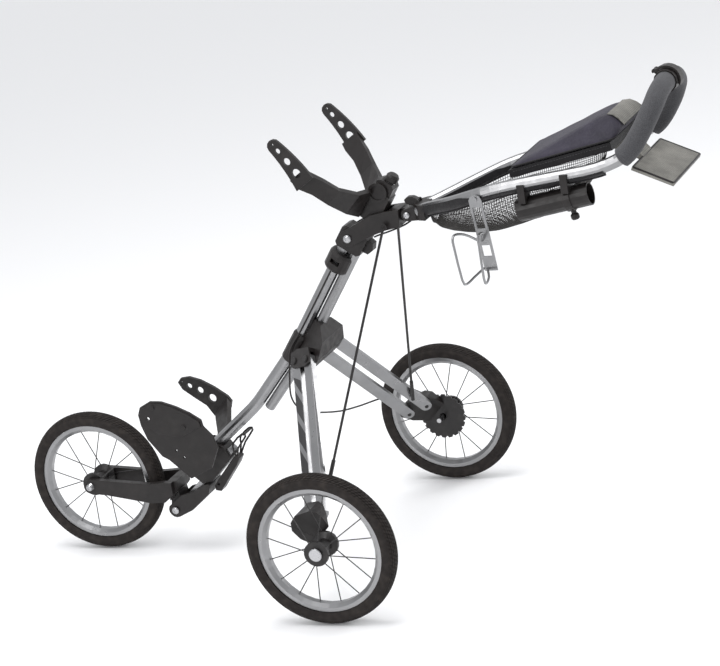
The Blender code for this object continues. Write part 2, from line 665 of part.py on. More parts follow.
def make_lower_cradle():
    """Bag foot bracket under the toe of the main tube: a base with two arms, a drilled pad
    on the right arm and a stepped guard plate on the left one."""
    base = prism([(-0.3440, 0.2250), (-0.3310, 0.2000), (-0.3820, 0.1500), (-0.4040, 0.1450),
                  (-0.4200, 0.1600), (-0.4300, 0.2000), (-0.4200, 0.2180), (-0.3950, 0.2320),
                  (-0.3800, 0.2360)], -0.0210, 0.0210)
    path = [(0.1060, -0.3920, 0.2740), (0.0850, -0.3840, 0.2560), (0.0550, -0.3720, 0.2370),
            (0.0180, -0.3640, 0.2120)]
    halves = [0.0240, 0.0235, 0.0200, 0.0165]
    wide = Vector((0.0, 0.70, 0.72)).normalized()
    arms = []
    for side in (1, -1):
        stations = []
        for i, point in enumerate(path):
            here = mirrored(Vector(point), side)
            before = mirrored(Vector(path[max(i - 1, 0)]), side)
            after = mirrored(Vector(path[min(i + 1, len(path) - 1)]), side)
            along = (after - before).normalized()
            width = (wide - along * wide.dot(along)).normalized()
            stations.append((here, width * halves[i], along.cross(width) * 0.0050))
        arms.append(ribbon(stations))
    shape = joined(base, *arms)
    shape = halved(shape, ACROSS * (LEFT_GUARD_X - 0.0036), -ACROSS)
    shape = halved(shape, -ACROSS * (RIGHT_PAD_X - 0.0041), ACROSS)
    front, rear = tube_tools()
    rear.free()
    shape = cut(shape, front)
    add_piece("lower_cradle_base", cut(shape, front_post(2 * GAP)), "black_plastic", "cart")
    make_right_pad()
    make_left_guard()


def make_right_pad():
    outline = [(-0.4820, 0.3250), (-0.4740, 0.3340), (-0.4550, 0.3360), (-0.4300, 0.3280),
               (-0.4020, 0.3120), (-0.3740, 0.2910), (-0.3670, 0.2800), (-0.3720, 0.2640),
               (-0.3900, 0.2510), (-0.4110, 0.2490), (-0.4250, 0.2720), (-0.4510, 0.2910),
               (-0.4740, 0.3090)]
    pad = prism(outline, -RIGHT_PAD_X - 0.00375, -RIGHT_PAD_X + 0.00375)
    for y, z, radius in ((-0.4090, 0.2880, 0.0090), (-0.4340, 0.3060, 0.0075),
                         (-0.4570, 0.3160, 0.0060), (-0.4730, 0.3250, 0.0025)):
        pad = cut(pad, rod((-0.13, y, z), (-0.08, y, z), radius, 14))
    add_piece("lower_cradle_pad_right", pad, "black_plastic", "cart")


def make_left_guard():
    outline = [(-0.4820, 0.3000), (-0.4840, 0.3230), (-0.4770, 0.3390), (-0.4530, 0.3510),
               (-0.4280, 0.3500), (-0.3970, 0.3390), (-0.3690, 0.3250), (-0.3460, 0.3090),
               (-0.3440, 0.2950), (-0.3270, 0.2750), (-0.3200, 0.2480), (-0.3410, 0.2060),
               (-0.3910, 0.1840), (-0.4330, 0.2250), (-0.4470, 0.2330), (-0.4730, 0.2700)]
    upper = [(-0.4790, 0.3220), (-0.4730, 0.3360), (-0.4510, 0.3470), (-0.4280, 0.3465),
             (-0.3990, 0.3355), (-0.3700, 0.3210), (-0.3490, 0.3060), (-0.3480, 0.2960),
             (-0.3960, 0.2740), (-0.4450, 0.2830), (-0.4700, 0.3030)]
    low = LEFT_GUARD_X - 0.0032
    shape = prism(outline, low, LEFT_GUARD_X + 0.0020)
    shape = joined(shape, prism(upper, LEFT_GUARD_X, LEFT_GUARD_X + 0.0050))
    for y, z in ((-0.4470, 0.3390), (-0.3850, 0.2960)):
        shape = joined(shape, rod((LEFT_GUARD_X, y, z), (LEFT_GUARD_X + 0.0075, y, z), 0.0046, 12))
    for y, z, radius in ((-0.4620, 0.3150, 0.0042), (-0.4130, 0.2450, 0.0022),
                         (-0.3980, 0.2300, 0.0022)):
        shape = cut(shape, rod((0.07, y, z), (0.11, y, z), radius, 12))
    add_piece("lower_cradle_pad_left", shape, "black_plastic", "cart")


# ---------------------------------------------------------------- front end
def front_post(extra=0.0):
    """Flat bar that runs down from the cradle base to the fork pivot lugs."""
    top = Vector((0.0, -0.332, 0.214))
    bottom = Vector((0.0, -0.4455, 0.1130))
    along = (bottom - top).normalized()
    back = Vector((0.0, along.z, -along.y))
    half_width, half_depth = 0.0160 + extra, 0.0065 + extra
    return ribbon([(top - along * extra, ACROSS * half_width, back * half_depth),
                   (bottom + along * extra, ACROSS * half_width, back * half_depth)])


def make_front_post():
    add_piece("front_post", front_post(), "aluminium", "cart")


def make_pivot_lugs():
    """Moulded block behind the post with two ears for the fork pivot bolt."""
    outline = (arc_points((FORK_PIVOT.y, FORK_PIVOT.z), 0.0165, 150, 290, 6)
               + [(-0.4350, 0.0900), (-0.3920, 0.1240), (-0.3860, 0.1440), (-0.3880, 0.1470),
                  (-0.4030, 0.1440), (-0.4300, 0.1290), (-0.4560, 0.1230)])
    block = prism(outline, -0.0290, 0.0290)
    slot = box((-0.0215, -0.520, 0.050), (0.0215, -0.4390, 0.160))
    bore = rod((-0.05, FORK_PIVOT.y, FORK_PIVOT.z), (0.05, FORK_PIVOT.y, FORK_PIVOT.z), 0.0048, 12)
    shape = cut(block, slot, bore, front_post(2 * GAP))
    add_piece("pivot_lugs", shape, "black_plastic", "cart")
    bolt = skin([circle(Vector((x, FORK_PIVOT.y, FORK_PIVOT.z)), Vector((0, 1, 0)),
                        Vector((0, 0, 1)), radius, 12)
                 for x, radius in ((-0.0330, 0.0080), (-0.0296, 0.0080), (-0.0296, 0.0043),
                                   (0.0296, 0.0043), (0.0296, 0.0080), (0.0330, 0.0080))])
    add_piece("fork_pivot_bolt", bolt, "bright_steel", "cart")


def make_fork():
    """Front swing fork: two arms beside the wheel, and a bridge with the pivot tongue."""
    arm = (arc_points((-WHEELBASE, WHEEL_RADIUS), 0.0155, 80, 270, 8)
           + [(-0.6200, 0.1310), (-0.5200, 0.1120), (-0.4870, 0.1130), (-0.4660, 0.1300),
              (-0.4660, 0.1560), (-0.4820, 0.1570), (-0.5200, 0.1540), (-0.6200, 0.1630)])
    parts = []
    for side in (1, -1):
        inner, outer = 0.0305, 0.0430
        low, high = sorted((inner * side, outer * side))
        parts.append(prism(arm, low, high))
    bridge = prism([(-0.4800, 0.1130), (-0.4610, 0.1330), (-0.4600, 0.1560), (-0.4800, 0.1560)],
                   -0.0330, 0.0330)
    tongue = prism(arc_points((FORK_PIVOT.y, FORK_PIVOT.z), 0.0150, 190, 380, 8)
                   + [(-0.4640, 0.1320), (-0.4790, 0.1320)], -0.0205, 0.0205)
    shape = joined(parts[0], bridge, parts[1], tongue)
    bore = rod((-0.05, FORK_PIVOT.y, FORK_PIVOT.z), (0.05, FORK_PIVOT.y, FORK_PIVOT.z),
               0.0043 + GAP, 12)
    axle = rod((-0.06, -WHEELBASE, WHEEL_RADIUS), (0.06, -WHEELBASE, WHEEL_RADIUS),
               AXLE_RADIUS + GAP, 14)
    add_piece("front_fork", cut(shape, bore, axle), "black_plastic", "front_fork")
    bolt = skin([circle(Vector((x, -WHEELBASE, WHEEL_RADIUS)), Vector((0, 1, 0)),
                        Vector((0, 0, 1)), radius, 14)
                 for x, radius in ((-0.0490, 0.0070), (-0.0436, 0.0095), (-0.0436, AXLE_RADIUS),
                                   (0.0436, AXLE_RADIUS), (0.0436, 0.0095), (0.0490, 0.0070))])
    add_piece("axle_front", bolt, "bright_steel", "front_fork")


LATCH_PIVOT = Vector((0.0, -0.3735, 0.1400))


def make_latch():
    """Lever behind the cradle base that locks the front post, with its wire pull loop."""
    lever = prism([(-0.3820, 0.1270), (-0.3700, 0.1250), (-0.3630, 0.1340), (-0.3240, 0.1820),
                   (-0.3160, 0.1960), (-0.3200, 0.2020), (-0.3290, 0.1990), (-0.3740, 0.1490),
                   (-0.3830, 0.1370)], -0.0120, 0.0120)
    foot = Vector((0.0, -0.3230, 0.1980))
    rise = [(0.0, 0.0), (0.0010, 0.0180), (0.0030, 0.0340), (0.0260, 0.0530), (0.0330, 0.0480),
            (0.0120, 0.0230), (0.0040, 0.0040)]
    loops = []
    for side in (1, -1):
        path = [foot + Vector((0.0185 * side if 0 < i < 6 else 0.0095 * side, a, b))
                for i, (a, b) in enumerate(rise)]
        loops.append(swept(smooth_path(path, 2), 0.0021, 8, ACROSS))
    top = foot + Vector((0.0, 0.0300, 0.0515))
    loops.append(rod(top - ACROSS * 0.0195, top + ACROSS * 0.0195, 0.0021, 8))
    bore = rod((-0.02, LATCH_PIVOT.y, LATCH_PIVOT.z), (0.02, LATCH_PIVOT.y, LATCH_PIVOT.z),
               0.0030 + GAP, 10)
    add_piece("front_latch", cut(joined(lever, *loops), bore), "black_plastic", "front_latch")


# ---------------------------------------------------------------- fold arm and handle
def make_fold_arm():
    """Forked arm that turns on the fold bolt and carries the handle and both rods."""
    outline = (arc_points((FOLD_PIVOT.y, FOLD_PIVOT.z), 0.0165, 100, 285, 8)
               + [(0.0600, 0.6530), (0.0900, 0.6620), (0.1190, 0.6670), (0.1200, 0.7000),
                  (0.0900, 0.6980), (0.0600, 0.6930)])
    block = prism(outline, -0.0290, 0.0290)
    slot = prism([(-0.0500, -0.0700), (0.0600, -0.0700), (0.0600, 0.0100), (0.0440, 0.0300),
                  (0.0440, 0.1300), (-0.0500, 0.1300)],
                 -0.0212, 0.0212, FOLD_PIVOT, (TUBE_BACK, TUBE_UP, ACROSS))
    knuckle = prism(arc_points((TILT_PIVOT.y, TILT_PIVOT.z), 0.0115, -90, 90, 6)
                    + [(0.1180, 0.6980), (0.1180, 0.6740)], -0.0090, 0.0090)
    shape = cut(block, slot)
    for side in (1, -1):
        axis = mirrored_axis(rod_turn_axis()[0], side)
        top = mirrored(ROD_TOP, side)
        if axis.x * side < 0:
            axis = -axis
        stud = rod(top - axis * 0.0140, top + axis * 0.0040, 0.0029, 10)
        shape = joined(shape, stud)
    shape = cut(joined(shape, knuckle), across_rod(FOLD_PIVOT, 0.05, 0.0056),
                across_rod(TILT_PIVOT, 0.02, 0.0035 + GAP, 12))
    add_piece("fold_arm", shape, "black_plastic", "fold_arm")
    bolt = skin([circle(Vector((x, FOLD_PIVOT.y, FOLD_PIVOT.z)), Vector((0, 1, 0)),
                        Vector((0, 0, 1)), radius, 14)
                 for x, radius in ((-0.0330, 0.0080), (-0.0294, 0.0080), (-0.0294, 0.0050),
                                   (0.0294, 0.0050), (0.0294, 0.0080), (0.0330, 0.0080))])
    add_piece("fold_bolt", bolt, "bright_steel", "cart")


def handle_path():
    """Centre line of the left handle tube, from the hinge yoke up to the middle of the arch."""
    w = HANDLE_HALF_WIDTH
    return [(0.0180, 0.1580, 0.6935), (0.0300, 0.1880, 0.7030), (0.0800, 0.2500, 0.7230),
            (w - 0.006, 0.3100, 0.7420), (w, 0.3700, 0.7550), (w, 0.4700, 0.7680),
            (w - 0.002, 0.5500, 0.7790), (w - 0.005, 0.6020, 0.7990), (0.1050, 0.6350, 0.8380),
            (0.0900, 0.6570, 0.8770), (0.0600, 0.6640, 0.8980), (0.0200, 0.6665, 0.9060)]


def full_handle_path():
    left = [Vector(p) for p in handle_path()]
    return smooth_path(left + [mirrored(p, -1) for p in reversed(left)], 3)


def grip_path():
    path = full_handle_path()
    return [p for p in path if p.y > 0.5950]


def make_handle():
    tube = swept(full_handle_path(), HANDLE_TUBE_RADIUS, 12, ACROSS)
    add_piece("handle_tube", tube, "aluminium", "handle")
    grip = swept_sleeve(grip_path(), GRIP_RADIUS, HANDLE_TUBE_RADIUS + 0.0010, 14, ACROSS)
    add_piece("handle_grip", grip, "grip_foam", "handle")
    cheeks = prism(arc_points((TILT_PIVOT.y, TILT_PIVOT.z), 0.0122, 90, 270, 8)
                   + [(0.1700, 0.6770), (0.1700, 0.7020)], -0.0222, 0.0222)
    wide = prism([(-0.0215, 0.1510), (0.0215, 0.1510), (0.0330, 0.1620), (0.0380, 0.1760),
                  (-0.0380, 0.1760), (-0.0330, 0.1620)],
                 0.6790, 0.7080, Vector((0, 0, 0)), (ACROSS, Vector((0, 1, 0)), Vector((0, 0, 1))))
    slot = box((-0.0096, 0.110, 0.660), (0.0096, 0.1475, 0.720))
    yoke = cut(joined(cheeks, wide), slot, across_rod(TILT_PIVOT, 0.03, 0.0035 + GAP, 12))
    place = (TILT_LEVER_PIVOT.y, TILT_LEVER_PIVOT.z)
    for side in (1, -1):
        low, high = sorted((0.0076 * side, 0.0110 * side))
        ear = prism(arc_points(place, 0.0045, 0, 180, 6)
                    + [(place[0] - 0.0045, 0.6990), (place[0] + 0.0045, 0.6990)], low, high)
        yoke = joined(yoke, ear)
    yoke = joined(yoke, across_rod(TILT_LEVER_PIVOT, 0.0090, 0.0020, 10))
    sockets = swept(full_handle_path(), HANDLE_TUBE_RADIUS + 2 * GAP, 12, ACROSS)
    add_piece("handle_yoke", cut(yoke, sockets), "black_plastic", "handle")
    pin = skin([circle(Vector((x, TILT_PIVOT.y, TILT_PIVOT.z)), Vector((0, 1, 0)),
                       Vector((0, 0, 1)), radius, 12)
                for x, radius in ((-0.0255, 0.0065), (-0.0226, 0.0065), (-0.0226, 0.0035),
                                  (0.0226, 0.0035), (0.0226, 0.0065), (0.0255, 0.0065))])
    add_piece("tilt_pin", pin, "bright_steel", "fold_arm")


TILT_LEVER_PIVOT = Vector((0.0, 0.1530, 0.7095))


def make_tilt_lever():
    """Cam lever on top of the yoke that clamps the handle's angle."""
    outline = (arc_points((TILT_LEVER_PIVOT.y, TILT_LEVER_PIVOT.z), 0.0046, 220, 60, 8)[::-1]
               + [(0.1440, 0.7030), (0.1360, 0.7030), (0.1290, 0.7070), (0.1270, 0.7140),
                  (0.1330, 0.7190), (0.1440, 0.7190)])
    shape = prism(outline, -0.0070, 0.0070)
    bore = across_rod(TILT_LEVER_PIVOT, 0.02, 0.0020 + GAP, 10)
    add_piece("tilt_lever", cut(shape, bore), "black_plastic", "tilt_lever")


ARCH_CENTRE = (0.6667, 0.9068)          # (Y, Z) of the grip's axis in the middle of the arch
BRAKE_LEVER_PIVOT = Vector((0.0, 0.6455, 0.9243))


def make_brake_lever():
    """Parking-brake lever on a perch clamped to the middle of the grip."""
    path = [p for p in full_handle_path() if abs(p.x) < 0.026 and p.y > 0.60]
    perch = swept_sleeve(path, GRIP_RADIUS + 0.0028, GRIP_RADIUS + 2 * GAP, 14, ACROSS)
    place = (BRAKE_LEVER_PIVOT.y, BRAKE_LEVER_PIVOT.z)
    ear = prism(arc_points(place, 0.0040, 50, 230, 6) + [(0.6490, 0.9160), (0.6550, 0.9220)],
                -0.0050, 0.0050)
    hole = across_rod(BRAKE_LEVER_PIVOT, 0.02, 0.0020 + GAP, 10)
    add_piece("brake_perch", cut(joined(perch, ear), hole), "black_plastic", "handle")
    outline = (arc_points(place, 0.0044, 50, 230, 6)
               + arc_points(ARCH_CENTRE, 0.0226, 133, -25, 9)
               + arc_points(ARCH_CENTRE, 0.0266, -25, 120, 9))
    lever = prism(outline, -0.0105, 0.0105)
    slot = box((-0.0054, 0.630, 0.900), (0.0054, 0.6590, 0.9500))
    axle = across_rod(BRAKE_LEVER_PIVOT, 0.0090, 0.0020, 10)
    add_piece("brake_lever", joined(cut(lever, slot), axle), "black_plastic", "brake_lever")


# ---------------------------------------------------------------- console and accessories
CONSOLE_HINGE = Vector((0.0, 0.3800, 0.7835))


def make_console():
    """Open tray between the handle tubes, and its wedge-shaped padded lid."""
    floor_slope = Vector((0.0, 0.981, 0.194)).normalized()
    lift = Vector((0.0, -floor_slope.z, floor_slope.y))
    front = Vector((0.0, 0.3795, 0.7670))
    half, length, height, wall = 0.0985, 0.2015, 0.0150, 0.003
    outline = [(0.0, 0.0), (length, 0.0), (length, height), (0.0, height)]
    tray = prism(outline, -half, half, front, (floor_slope, lift, ACROSS))
    inner = prism([(wall, wall), (length - wall, wall), (length - wall, height + 0.01),
                   (wall, height + 0.01)], -half + wall, half - wall, front,
                  (floor_slope, lift, ACROSS))
    add_piece("console_tray", cut(tray, inner), "tray_fabric", "handle")
    rings = []
    for rise, near, far, wide in ((0.0012, 0.006, 0.205, half - 0.001), (0.005, 0.006, 0.212, 0.098),
                                  (0.014, 0.056, 0.222, 0.088), (0.030, 0.126, 0.216, 0.071),
                                  (0.041, 0.176, 0.206, 0.060)):
        rings.append([front + lift * (height + rise) + floor_slope * a + ACROSS * wide * s
                      for a, s in ((near, 1), (far, 1), (far, -1), (near, -1))])
    add_piece("console_lid", skin(rings), "tray_fabric", "console_lid")


def make_scorecard_holder():
    """Flat clip panel that slopes down behind the handle, on its mounting foot."""
    slope = Vector((0.0, 0.904, -0.427)).normalized()
    lift = Vector((0.0, 0.427, 0.904)).normalized()
    centre = Vector((0.0, 0.6450, 0.7535))
    panel = prism([(-0.0410, -0.0035), (0.0410, -0.0035), (0.0410, 0.0035), (-0.0410, 0.0035)],
                  -0.1000, 0.1000, centre, (slope, lift, ACROSS))
    foot = prism([(0.5550, 0.8000), (0.5750, 0.8045), (0.5900, 0.8000), (0.6120, 0.7740),
                  (0.6080, 0.7660), (0.5850, 0.7800), (0.5560, 0.7930)], -0.0300, 0.0300)
    add_piece("scorecard_holder", joined(panel, foot), "panel_grey", "handle")


UMBRELLA_START = Vector((0.1080, 0.3900, 0.7085))
UMBRELLA_END = Vector((0.1080, 0.5290, 0.7320))
KNOB_PIVOT = Vector((0.1080, 0.4930, 0.6920))


def make_umbrella_holder():
    along = (UMBRELLA_END - UMBRELLA_START).normalized()
    down = Vector((0.0, along.z, -along.y))
    holder = rod(UMBRELLA_START, UMBRELLA_END, 0.0215, 20)
    bore = rod(UMBRELLA_START + along * 0.005, UMBRELLA_END + along * 0.02, 0.0188, 20)
    middle = UMBRELLA_START + along * 0.100
    band = rod(middle - along * 0.0070, middle + along * 0.0070, 0.0238, 20)
    boss = rod(middle + down * 0.0200, middle + down * 0.0280, 0.0050, 10)
    straps = []
    for distance in (0.016, 0.100):
        place = UMBRELLA_START + along * distance
        straps.append(box((0.1010, place.y - 0.007, place.z + 0.0150),
                          (0.1330, place.y + 0.007, place.z + 0.0500)))
    saddle = swept(full_handle_path(), HANDLE_TUBE_RADIUS + 2 * GAP, 12, ACROSS)
    shape = cut(joined(holder, band, boss, *straps), bore, saddle)
    add_piece("umbrella_tube", shape, "black_plastic", "handle")
    low = middle + down * 0.0286
    knob = skin([circle(low + down * drop, *square_to(down), radius, 12)
                 for drop, radius in ((0.0, 0.0060), (0.0030, 0.0080), (0.0095, 0.0080),
                                      (0.0120, 0.0060))])
    add_piece("umbrella_knob", knob, "black_plastic", "umbrella_knob")


def umbrella_knob_pivot():
    along = (UMBRELLA_END - UMBRELLA_START).normalized()
    down = Vector((0.0, along.z, -along.y))
    return UMBRELLA_START + along * 0.100 + down * 0.0286


def make_mesh_bag():
    """Hammock of mesh between the handle tubes, closed below, open above."""
    stations = ((0.1950, 0.030, 0.6840, 0.029), (0.2600, 0.074, 0.7075, 0.0595),
                (0.3200, 0.094, 0.7290, 0.079), (0.3800, 0.084, 0.7430, 0.079),
                (0.4550, 0.084, 0.7520, 0.062))
    wall = 0.0025
    outside, inside = [], []
    for y, half, top, depth in stations:
        outside.append(hammock(y, half, top, depth))
        inside.append(hammock(y, half - wall, top + 0.020, depth + 0.020 - wall))
    inside[0] = hammock(0.1990, 0.0275, 0.7040, 0.0465)
    inside[-1] = hammock(0.4520, 0.0815, 0.7720, 0.0795)
    add_piece("mesh_bag", cut(skin(outside), skin(inside)), "mesh_grey", "handle")


def hammock(y, half, top, depth):
    """Cross-section of the bag: flat top edge and a rounded, sagging belly."""
    ring = [Vector((half, y, top)), Vector((-half, y, top))]
    for i in range(7):
        angle = pi + pi * i / 6
        ring.append(Vector((half * cos(angle), y, top - depth * 0.35
                            + depth * 0.65 * sin(angle))))
    return ring


def make_bottle_cage():
    """Wire bottle cage: a ladder plate bolted to the left handle tube, and two wire loops."""
    outline = [(0.3155, 0.6030), (0.3405, 0.6030), (0.3285, 0.7380), (0.3245, 0.7450),
               (0.3160, 0.7480), (0.3075, 0.7450), (0.3035, 0.7380)]
    cage = prism(outline, 0.1285, 0.1315)
    for low, high in ((0.6310, 0.6520), (0.6840, 0.7240)):
        middle = [0.3280 - (z - 0.6030) * 0.0889 for z in (low, high)]
        window = prism([(middle[0] - 0.0080, low), (middle[0] + 0.0080, low),
                        (middle[1] + 0.0080, high), (middle[1] - 0.0080, high)], 0.120, 0.140)
        cage = cut(cage, window)
    loop = [(0.1300, 0.3105, 0.6610), (0.1480, 0.3000, 0.6760), (0.1650, 0.2930, 0.6850),
            (0.1900, 0.2890, 0.6910), (0.2020, 0.2890, 0.6860), (0.2030, 0.2900, 0.6700),
            (0.2030, 0.2960, 0.6100), (0.1900, 0.2985, 0.5970), (0.1600, 0.3030, 0.6000),
            (0.1300, 0.3140, 0.6080)]
    for turn in (0, 1):
        path = [Vector((x, 0.6290 - y + (0.6610 - z) * 0.10 if turn else y, z)) for x, y, z in loop]
        cage = joined(cage, swept(smooth_path(path, 2), 0.0024, 8))
    saddle = swept(full_handle_path(), HANDLE_TUBE_RADIUS + 2 * GAP, 12, ACROSS)
    boss = cut(rod((0.1130, 0.3160, 0.7400), (0.1300, 0.3160, 0.7400), 0.0070, 12), saddle)
    head = rod((0.1300, 0.3160, 0.7400), (0.1345, 0.3160, 0.7400), 0.0045, 10)
    add_piece("bottle_cage", joined(cage, boss, head), "aluminium", "handle")


BRAKE_CABLE_RADIUS = 0.0019
BRAKE_CABLE_ROUTE = [
    (0.0173, -0.0424, 0.5857), (0.0173, -0.0597, 0.5611), (0.0185, -0.0942, 0.5120),
    (0.0225, -0.1258, 0.4670), (0.0250, -0.1540, 0.4290), (0.0320, -0.1590, 0.3980),
    (0.0410, -0.1590, 0.3750), (0.0480, -0.1590, 0.3550), (0.0510, -0.1575, 0.3380),
    (0.0490, -0.1510, 0.3200), (0.0380, -0.1370, 0.3030), (0.0100, -0.1180, 0.2900),
    (-0.0500, -0.1040, 0.2700), (-0.1200, -0.0940, 0.2540), (-0.1800, -0.0875, 0.2425),
    (-0.2030, -0.0853, 0.2378)]


def make_brake_cable():
    """Brake cable: out of the lock collar, down the frame, round in a slack loop in front
    of the left leg, and across to the right leg."""
    route = smooth_path(BRAKE_CABLE_ROUTE, 4)
    curve = bpy.data.curves.new("brake_cable", "CURVE")
    curve.dimensions = "3D"
    curve.bevel_depth = BRAKE_CABLE_RADIUS
    curve.bevel_resolution = 2
    curve.use_fill_caps = True
    spline = curve.splines.new("POLY")
    spline.points.add(len(route) - 1)
    for point, place in zip(spline.points, route):
        point.co = (*place, 1.0)
    curve.materials.append(bpy.data.materials["black_plastic"])
    cable = bpy.data.objects.new("brake_cable", curve)
    bpy.context.collection.objects.link(cable)
    cable.parent = bpy.data.objects["cart_body"]


# ---------------------------------------------------------------- assembly
def add_bodies():
    add_body("cart", (0, 0, 0))
    add_body("fold_arm", FOLD_PIVOT, "cart")
    add_body("handle", TILT_PIVOT, "fold_arm")
    add_body("tilt_lever", TILT_LEVER_PIVOT, "handle")
    add_body("brake_lever", BRAKE_LEVER_PIVOT, "handle")
    add_body("console_lid", CONSOLE_HINGE, "handle")
    add_body("umbrella_knob", umbrella_knob_pivot(), "handle")
    add_body("front_fork", FORK_PIVOT, "cart")
    add_body("wheel_front", (0.0, -WHEELBASE, WHEEL_RADIUS), "front_fork")
    add_body("front_latch", LATCH_PIVOT, "cart")
    for side, label in ((1, "left"), (-1, "right")):
        front = mirrored(FRONT_BAR_PIVOT, side)
        rear = mirrored(FRONT_BAR_PIVOT + BAR_OFFSET, side)
        add_body("leg_front_bar_" + label, front, "cart")
        add_body("leg_rear_bar_" + label, rear, "cart")
        add_body("leg_end_" + label, rear + mirrored(LEG_DIRECTION, side) * LEG_LENGTH,
                 "leg_rear_bar_" + label)
        add_body("wheel_" + label, (TRACK_HALF * side, 0.0, WHEEL_RADIUS), "leg_end_" + label)
        add_body("fold_rod_" + label, mirrored(ROD_TOP, side), "fold_arm")


def main():
    clear_scene()
    make_materials()
    add_bodies()
    make_wheels()
    make_brake_ring()
    for side, label in ((1, "left"), (-1, "right")):
        make_leg(side, label)
        make_leg_end(side, label)
        make_rod(side, label)
    make_frame_tubes()
    make_top_clamp()
    make_lock_collar()
    make_junction_block()
    make_upper_cradle()
    make_lower_cradle()
    make_front_post()
    make_pivot_lugs()
    make_fork()
    make_latch()
    make_fold_arm()
    make_handle()
    make_tilt_lever()
    make_brake_lever()
    make_console()
    make_scorecard_holder()
    make_umbrella_holder()
    make_mesh_bag()
    make_bottle_cage()
    make_brake_cable()


main()
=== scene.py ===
# %% [markdown]
# # A three-wheel golf push cart
#
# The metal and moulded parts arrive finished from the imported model: tubes, legs, hinges, wheels.
# This lesson gives them their finishes, and makes what a solid model leaves plain: tyre tread,
# the net bag under the console, the padded console lid, the foam grip and the small fasteners.
# Everything is in metres, +Z up, +X to the cart's left and +Y to the rear.

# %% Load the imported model
import json
from math import cos, pi, radians, sin

import bmesh
import bpy
from mathutils import Matrix, Vector, noise

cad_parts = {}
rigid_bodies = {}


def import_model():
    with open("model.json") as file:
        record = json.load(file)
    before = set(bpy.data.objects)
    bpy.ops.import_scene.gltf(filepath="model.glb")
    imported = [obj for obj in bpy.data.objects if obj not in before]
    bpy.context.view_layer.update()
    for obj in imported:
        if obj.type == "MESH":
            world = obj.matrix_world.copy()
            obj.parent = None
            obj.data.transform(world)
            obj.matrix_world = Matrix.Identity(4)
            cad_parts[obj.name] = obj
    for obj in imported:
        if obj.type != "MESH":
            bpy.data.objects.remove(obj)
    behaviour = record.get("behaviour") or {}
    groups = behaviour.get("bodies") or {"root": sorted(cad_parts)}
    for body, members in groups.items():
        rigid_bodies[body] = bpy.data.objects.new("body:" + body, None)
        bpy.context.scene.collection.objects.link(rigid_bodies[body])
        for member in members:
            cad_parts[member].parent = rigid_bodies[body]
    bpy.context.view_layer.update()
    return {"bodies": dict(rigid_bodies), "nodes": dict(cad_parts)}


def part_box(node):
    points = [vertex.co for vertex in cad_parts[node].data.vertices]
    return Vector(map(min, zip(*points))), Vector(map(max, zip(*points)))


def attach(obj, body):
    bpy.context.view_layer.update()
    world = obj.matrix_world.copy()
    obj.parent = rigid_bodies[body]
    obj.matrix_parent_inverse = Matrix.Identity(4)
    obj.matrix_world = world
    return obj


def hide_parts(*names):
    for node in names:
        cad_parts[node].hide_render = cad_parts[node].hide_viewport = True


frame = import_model()
NODES = frame["nodes"]
BODY_OF = {node: obj.parent for node, obj in NODES.items()}


# %% [markdown]
# ## Camera
#
# The cart is seen from its left and a little behind, from about a standing person's eye height and
# almost five metres away with a long lens, with the camera turned slightly about its own line of
# sight. A camera's own axes are its right, its up and its back, so three vectors and a place set
# it.

# %% Camera
RIGHT = Vector((-0.35680, 0.92075, -0.15782))
BACKWARD = Vector((0.87566, 0.38849, 0.28687))
CAMERA_PLACE = Vector((4.1991, 1.9070, 1.8251))
LENS = 122.64

camera_data = bpy.data.cameras.new("camera")
camera_data.sensor_width = 36.0
camera_data.lens = LENS
camera_data.clip_end = 60.0
camera = bpy.data.objects.new("camera", camera_data)
bpy.context.collection.objects.link(camera)
turn = Matrix((RIGHT, BACKWARD.cross(RIGHT), BACKWARD)).transposed()
camera.matrix_world = Matrix.Translation(CAMERA_PLACE) @ turn.to_4x4()
bpy.context.scene.camera = camera
print("camera", [round(c, 2) for c in CAMERA_PLACE], "lens", LENS)


# %% [markdown]
# ## Floor and light
#
# A pale floor fills the view. One broad light overhead gives soft shadows under the wheels, one
# to the left lifts the near side, and a low one behind draws bright lines along the tubes. The
# pale world fills what is left, so black plastic still shows its shape. The Standard view
# transform keeps the pale floor pale and the blacks dark.

# %% Floor and light
def stage_floor():
    size = 16.0
    mesh = bpy.data.meshes.new("floor")
    shape = bmesh.new()
    bmesh.ops.create_grid(shape, x_segments=2, y_segments=2, size=size)
    shape.to_mesh(mesh)
    shape.free()
    material = bpy.data.materials.new("pale_floor")
    material.use_nodes = True
    shader = material.node_tree.nodes["Principled BSDF"]
    shader.inputs["Base Color"].default_value = (0.90, 0.90, 0.905, 1.0)
    shader.inputs["Roughness"].default_value = 0.42
    mesh.materials.append(material)
    floor = bpy.data.objects.new("floor", mesh)
    floor.location.z = -0.0006
    bpy.context.collection.objects.link(floor)


def area_light(name, place, aim, size, power):
    data = bpy.data.lights.new(name, "AREA")
    data.shape = "DISK"
    data.size = size
    data.energy = power
    light = bpy.data.objects.new(name, data)
    light.location = place
    light.rotation_euler = (Vector(aim) - Vector(place)).to_track_quat("-Z", "Y").to_euler()
    bpy.context.collection.objects.link(light)


stage_floor()
area_light("overhead", (0.4, -0.2, 3.4), (0.0, 0.0, 0.3), 2.4, 70.0)
area_light("left_fill", (3.6, -1.2, 1.9), (0.0, 0.0, 0.4), 1.6, 30.0)
area_light("rear_rim", (-1.8, 3.0, 1.6), (0.0, 0.2, 0.6), 1.2, 40.0)
world = bpy.data.worlds.new("pale_room")
world.use_nodes = True
world.node_tree.nodes["Background"].inputs["Color"].default_value = (0.93, 0.94, 0.96, 1.0)
world.node_tree.nodes["Background"].inputs["Strength"].default_value = 0.92
bpy.context.scene.world = world
bpy.context.scene.view_settings.view_transform = "Standard"


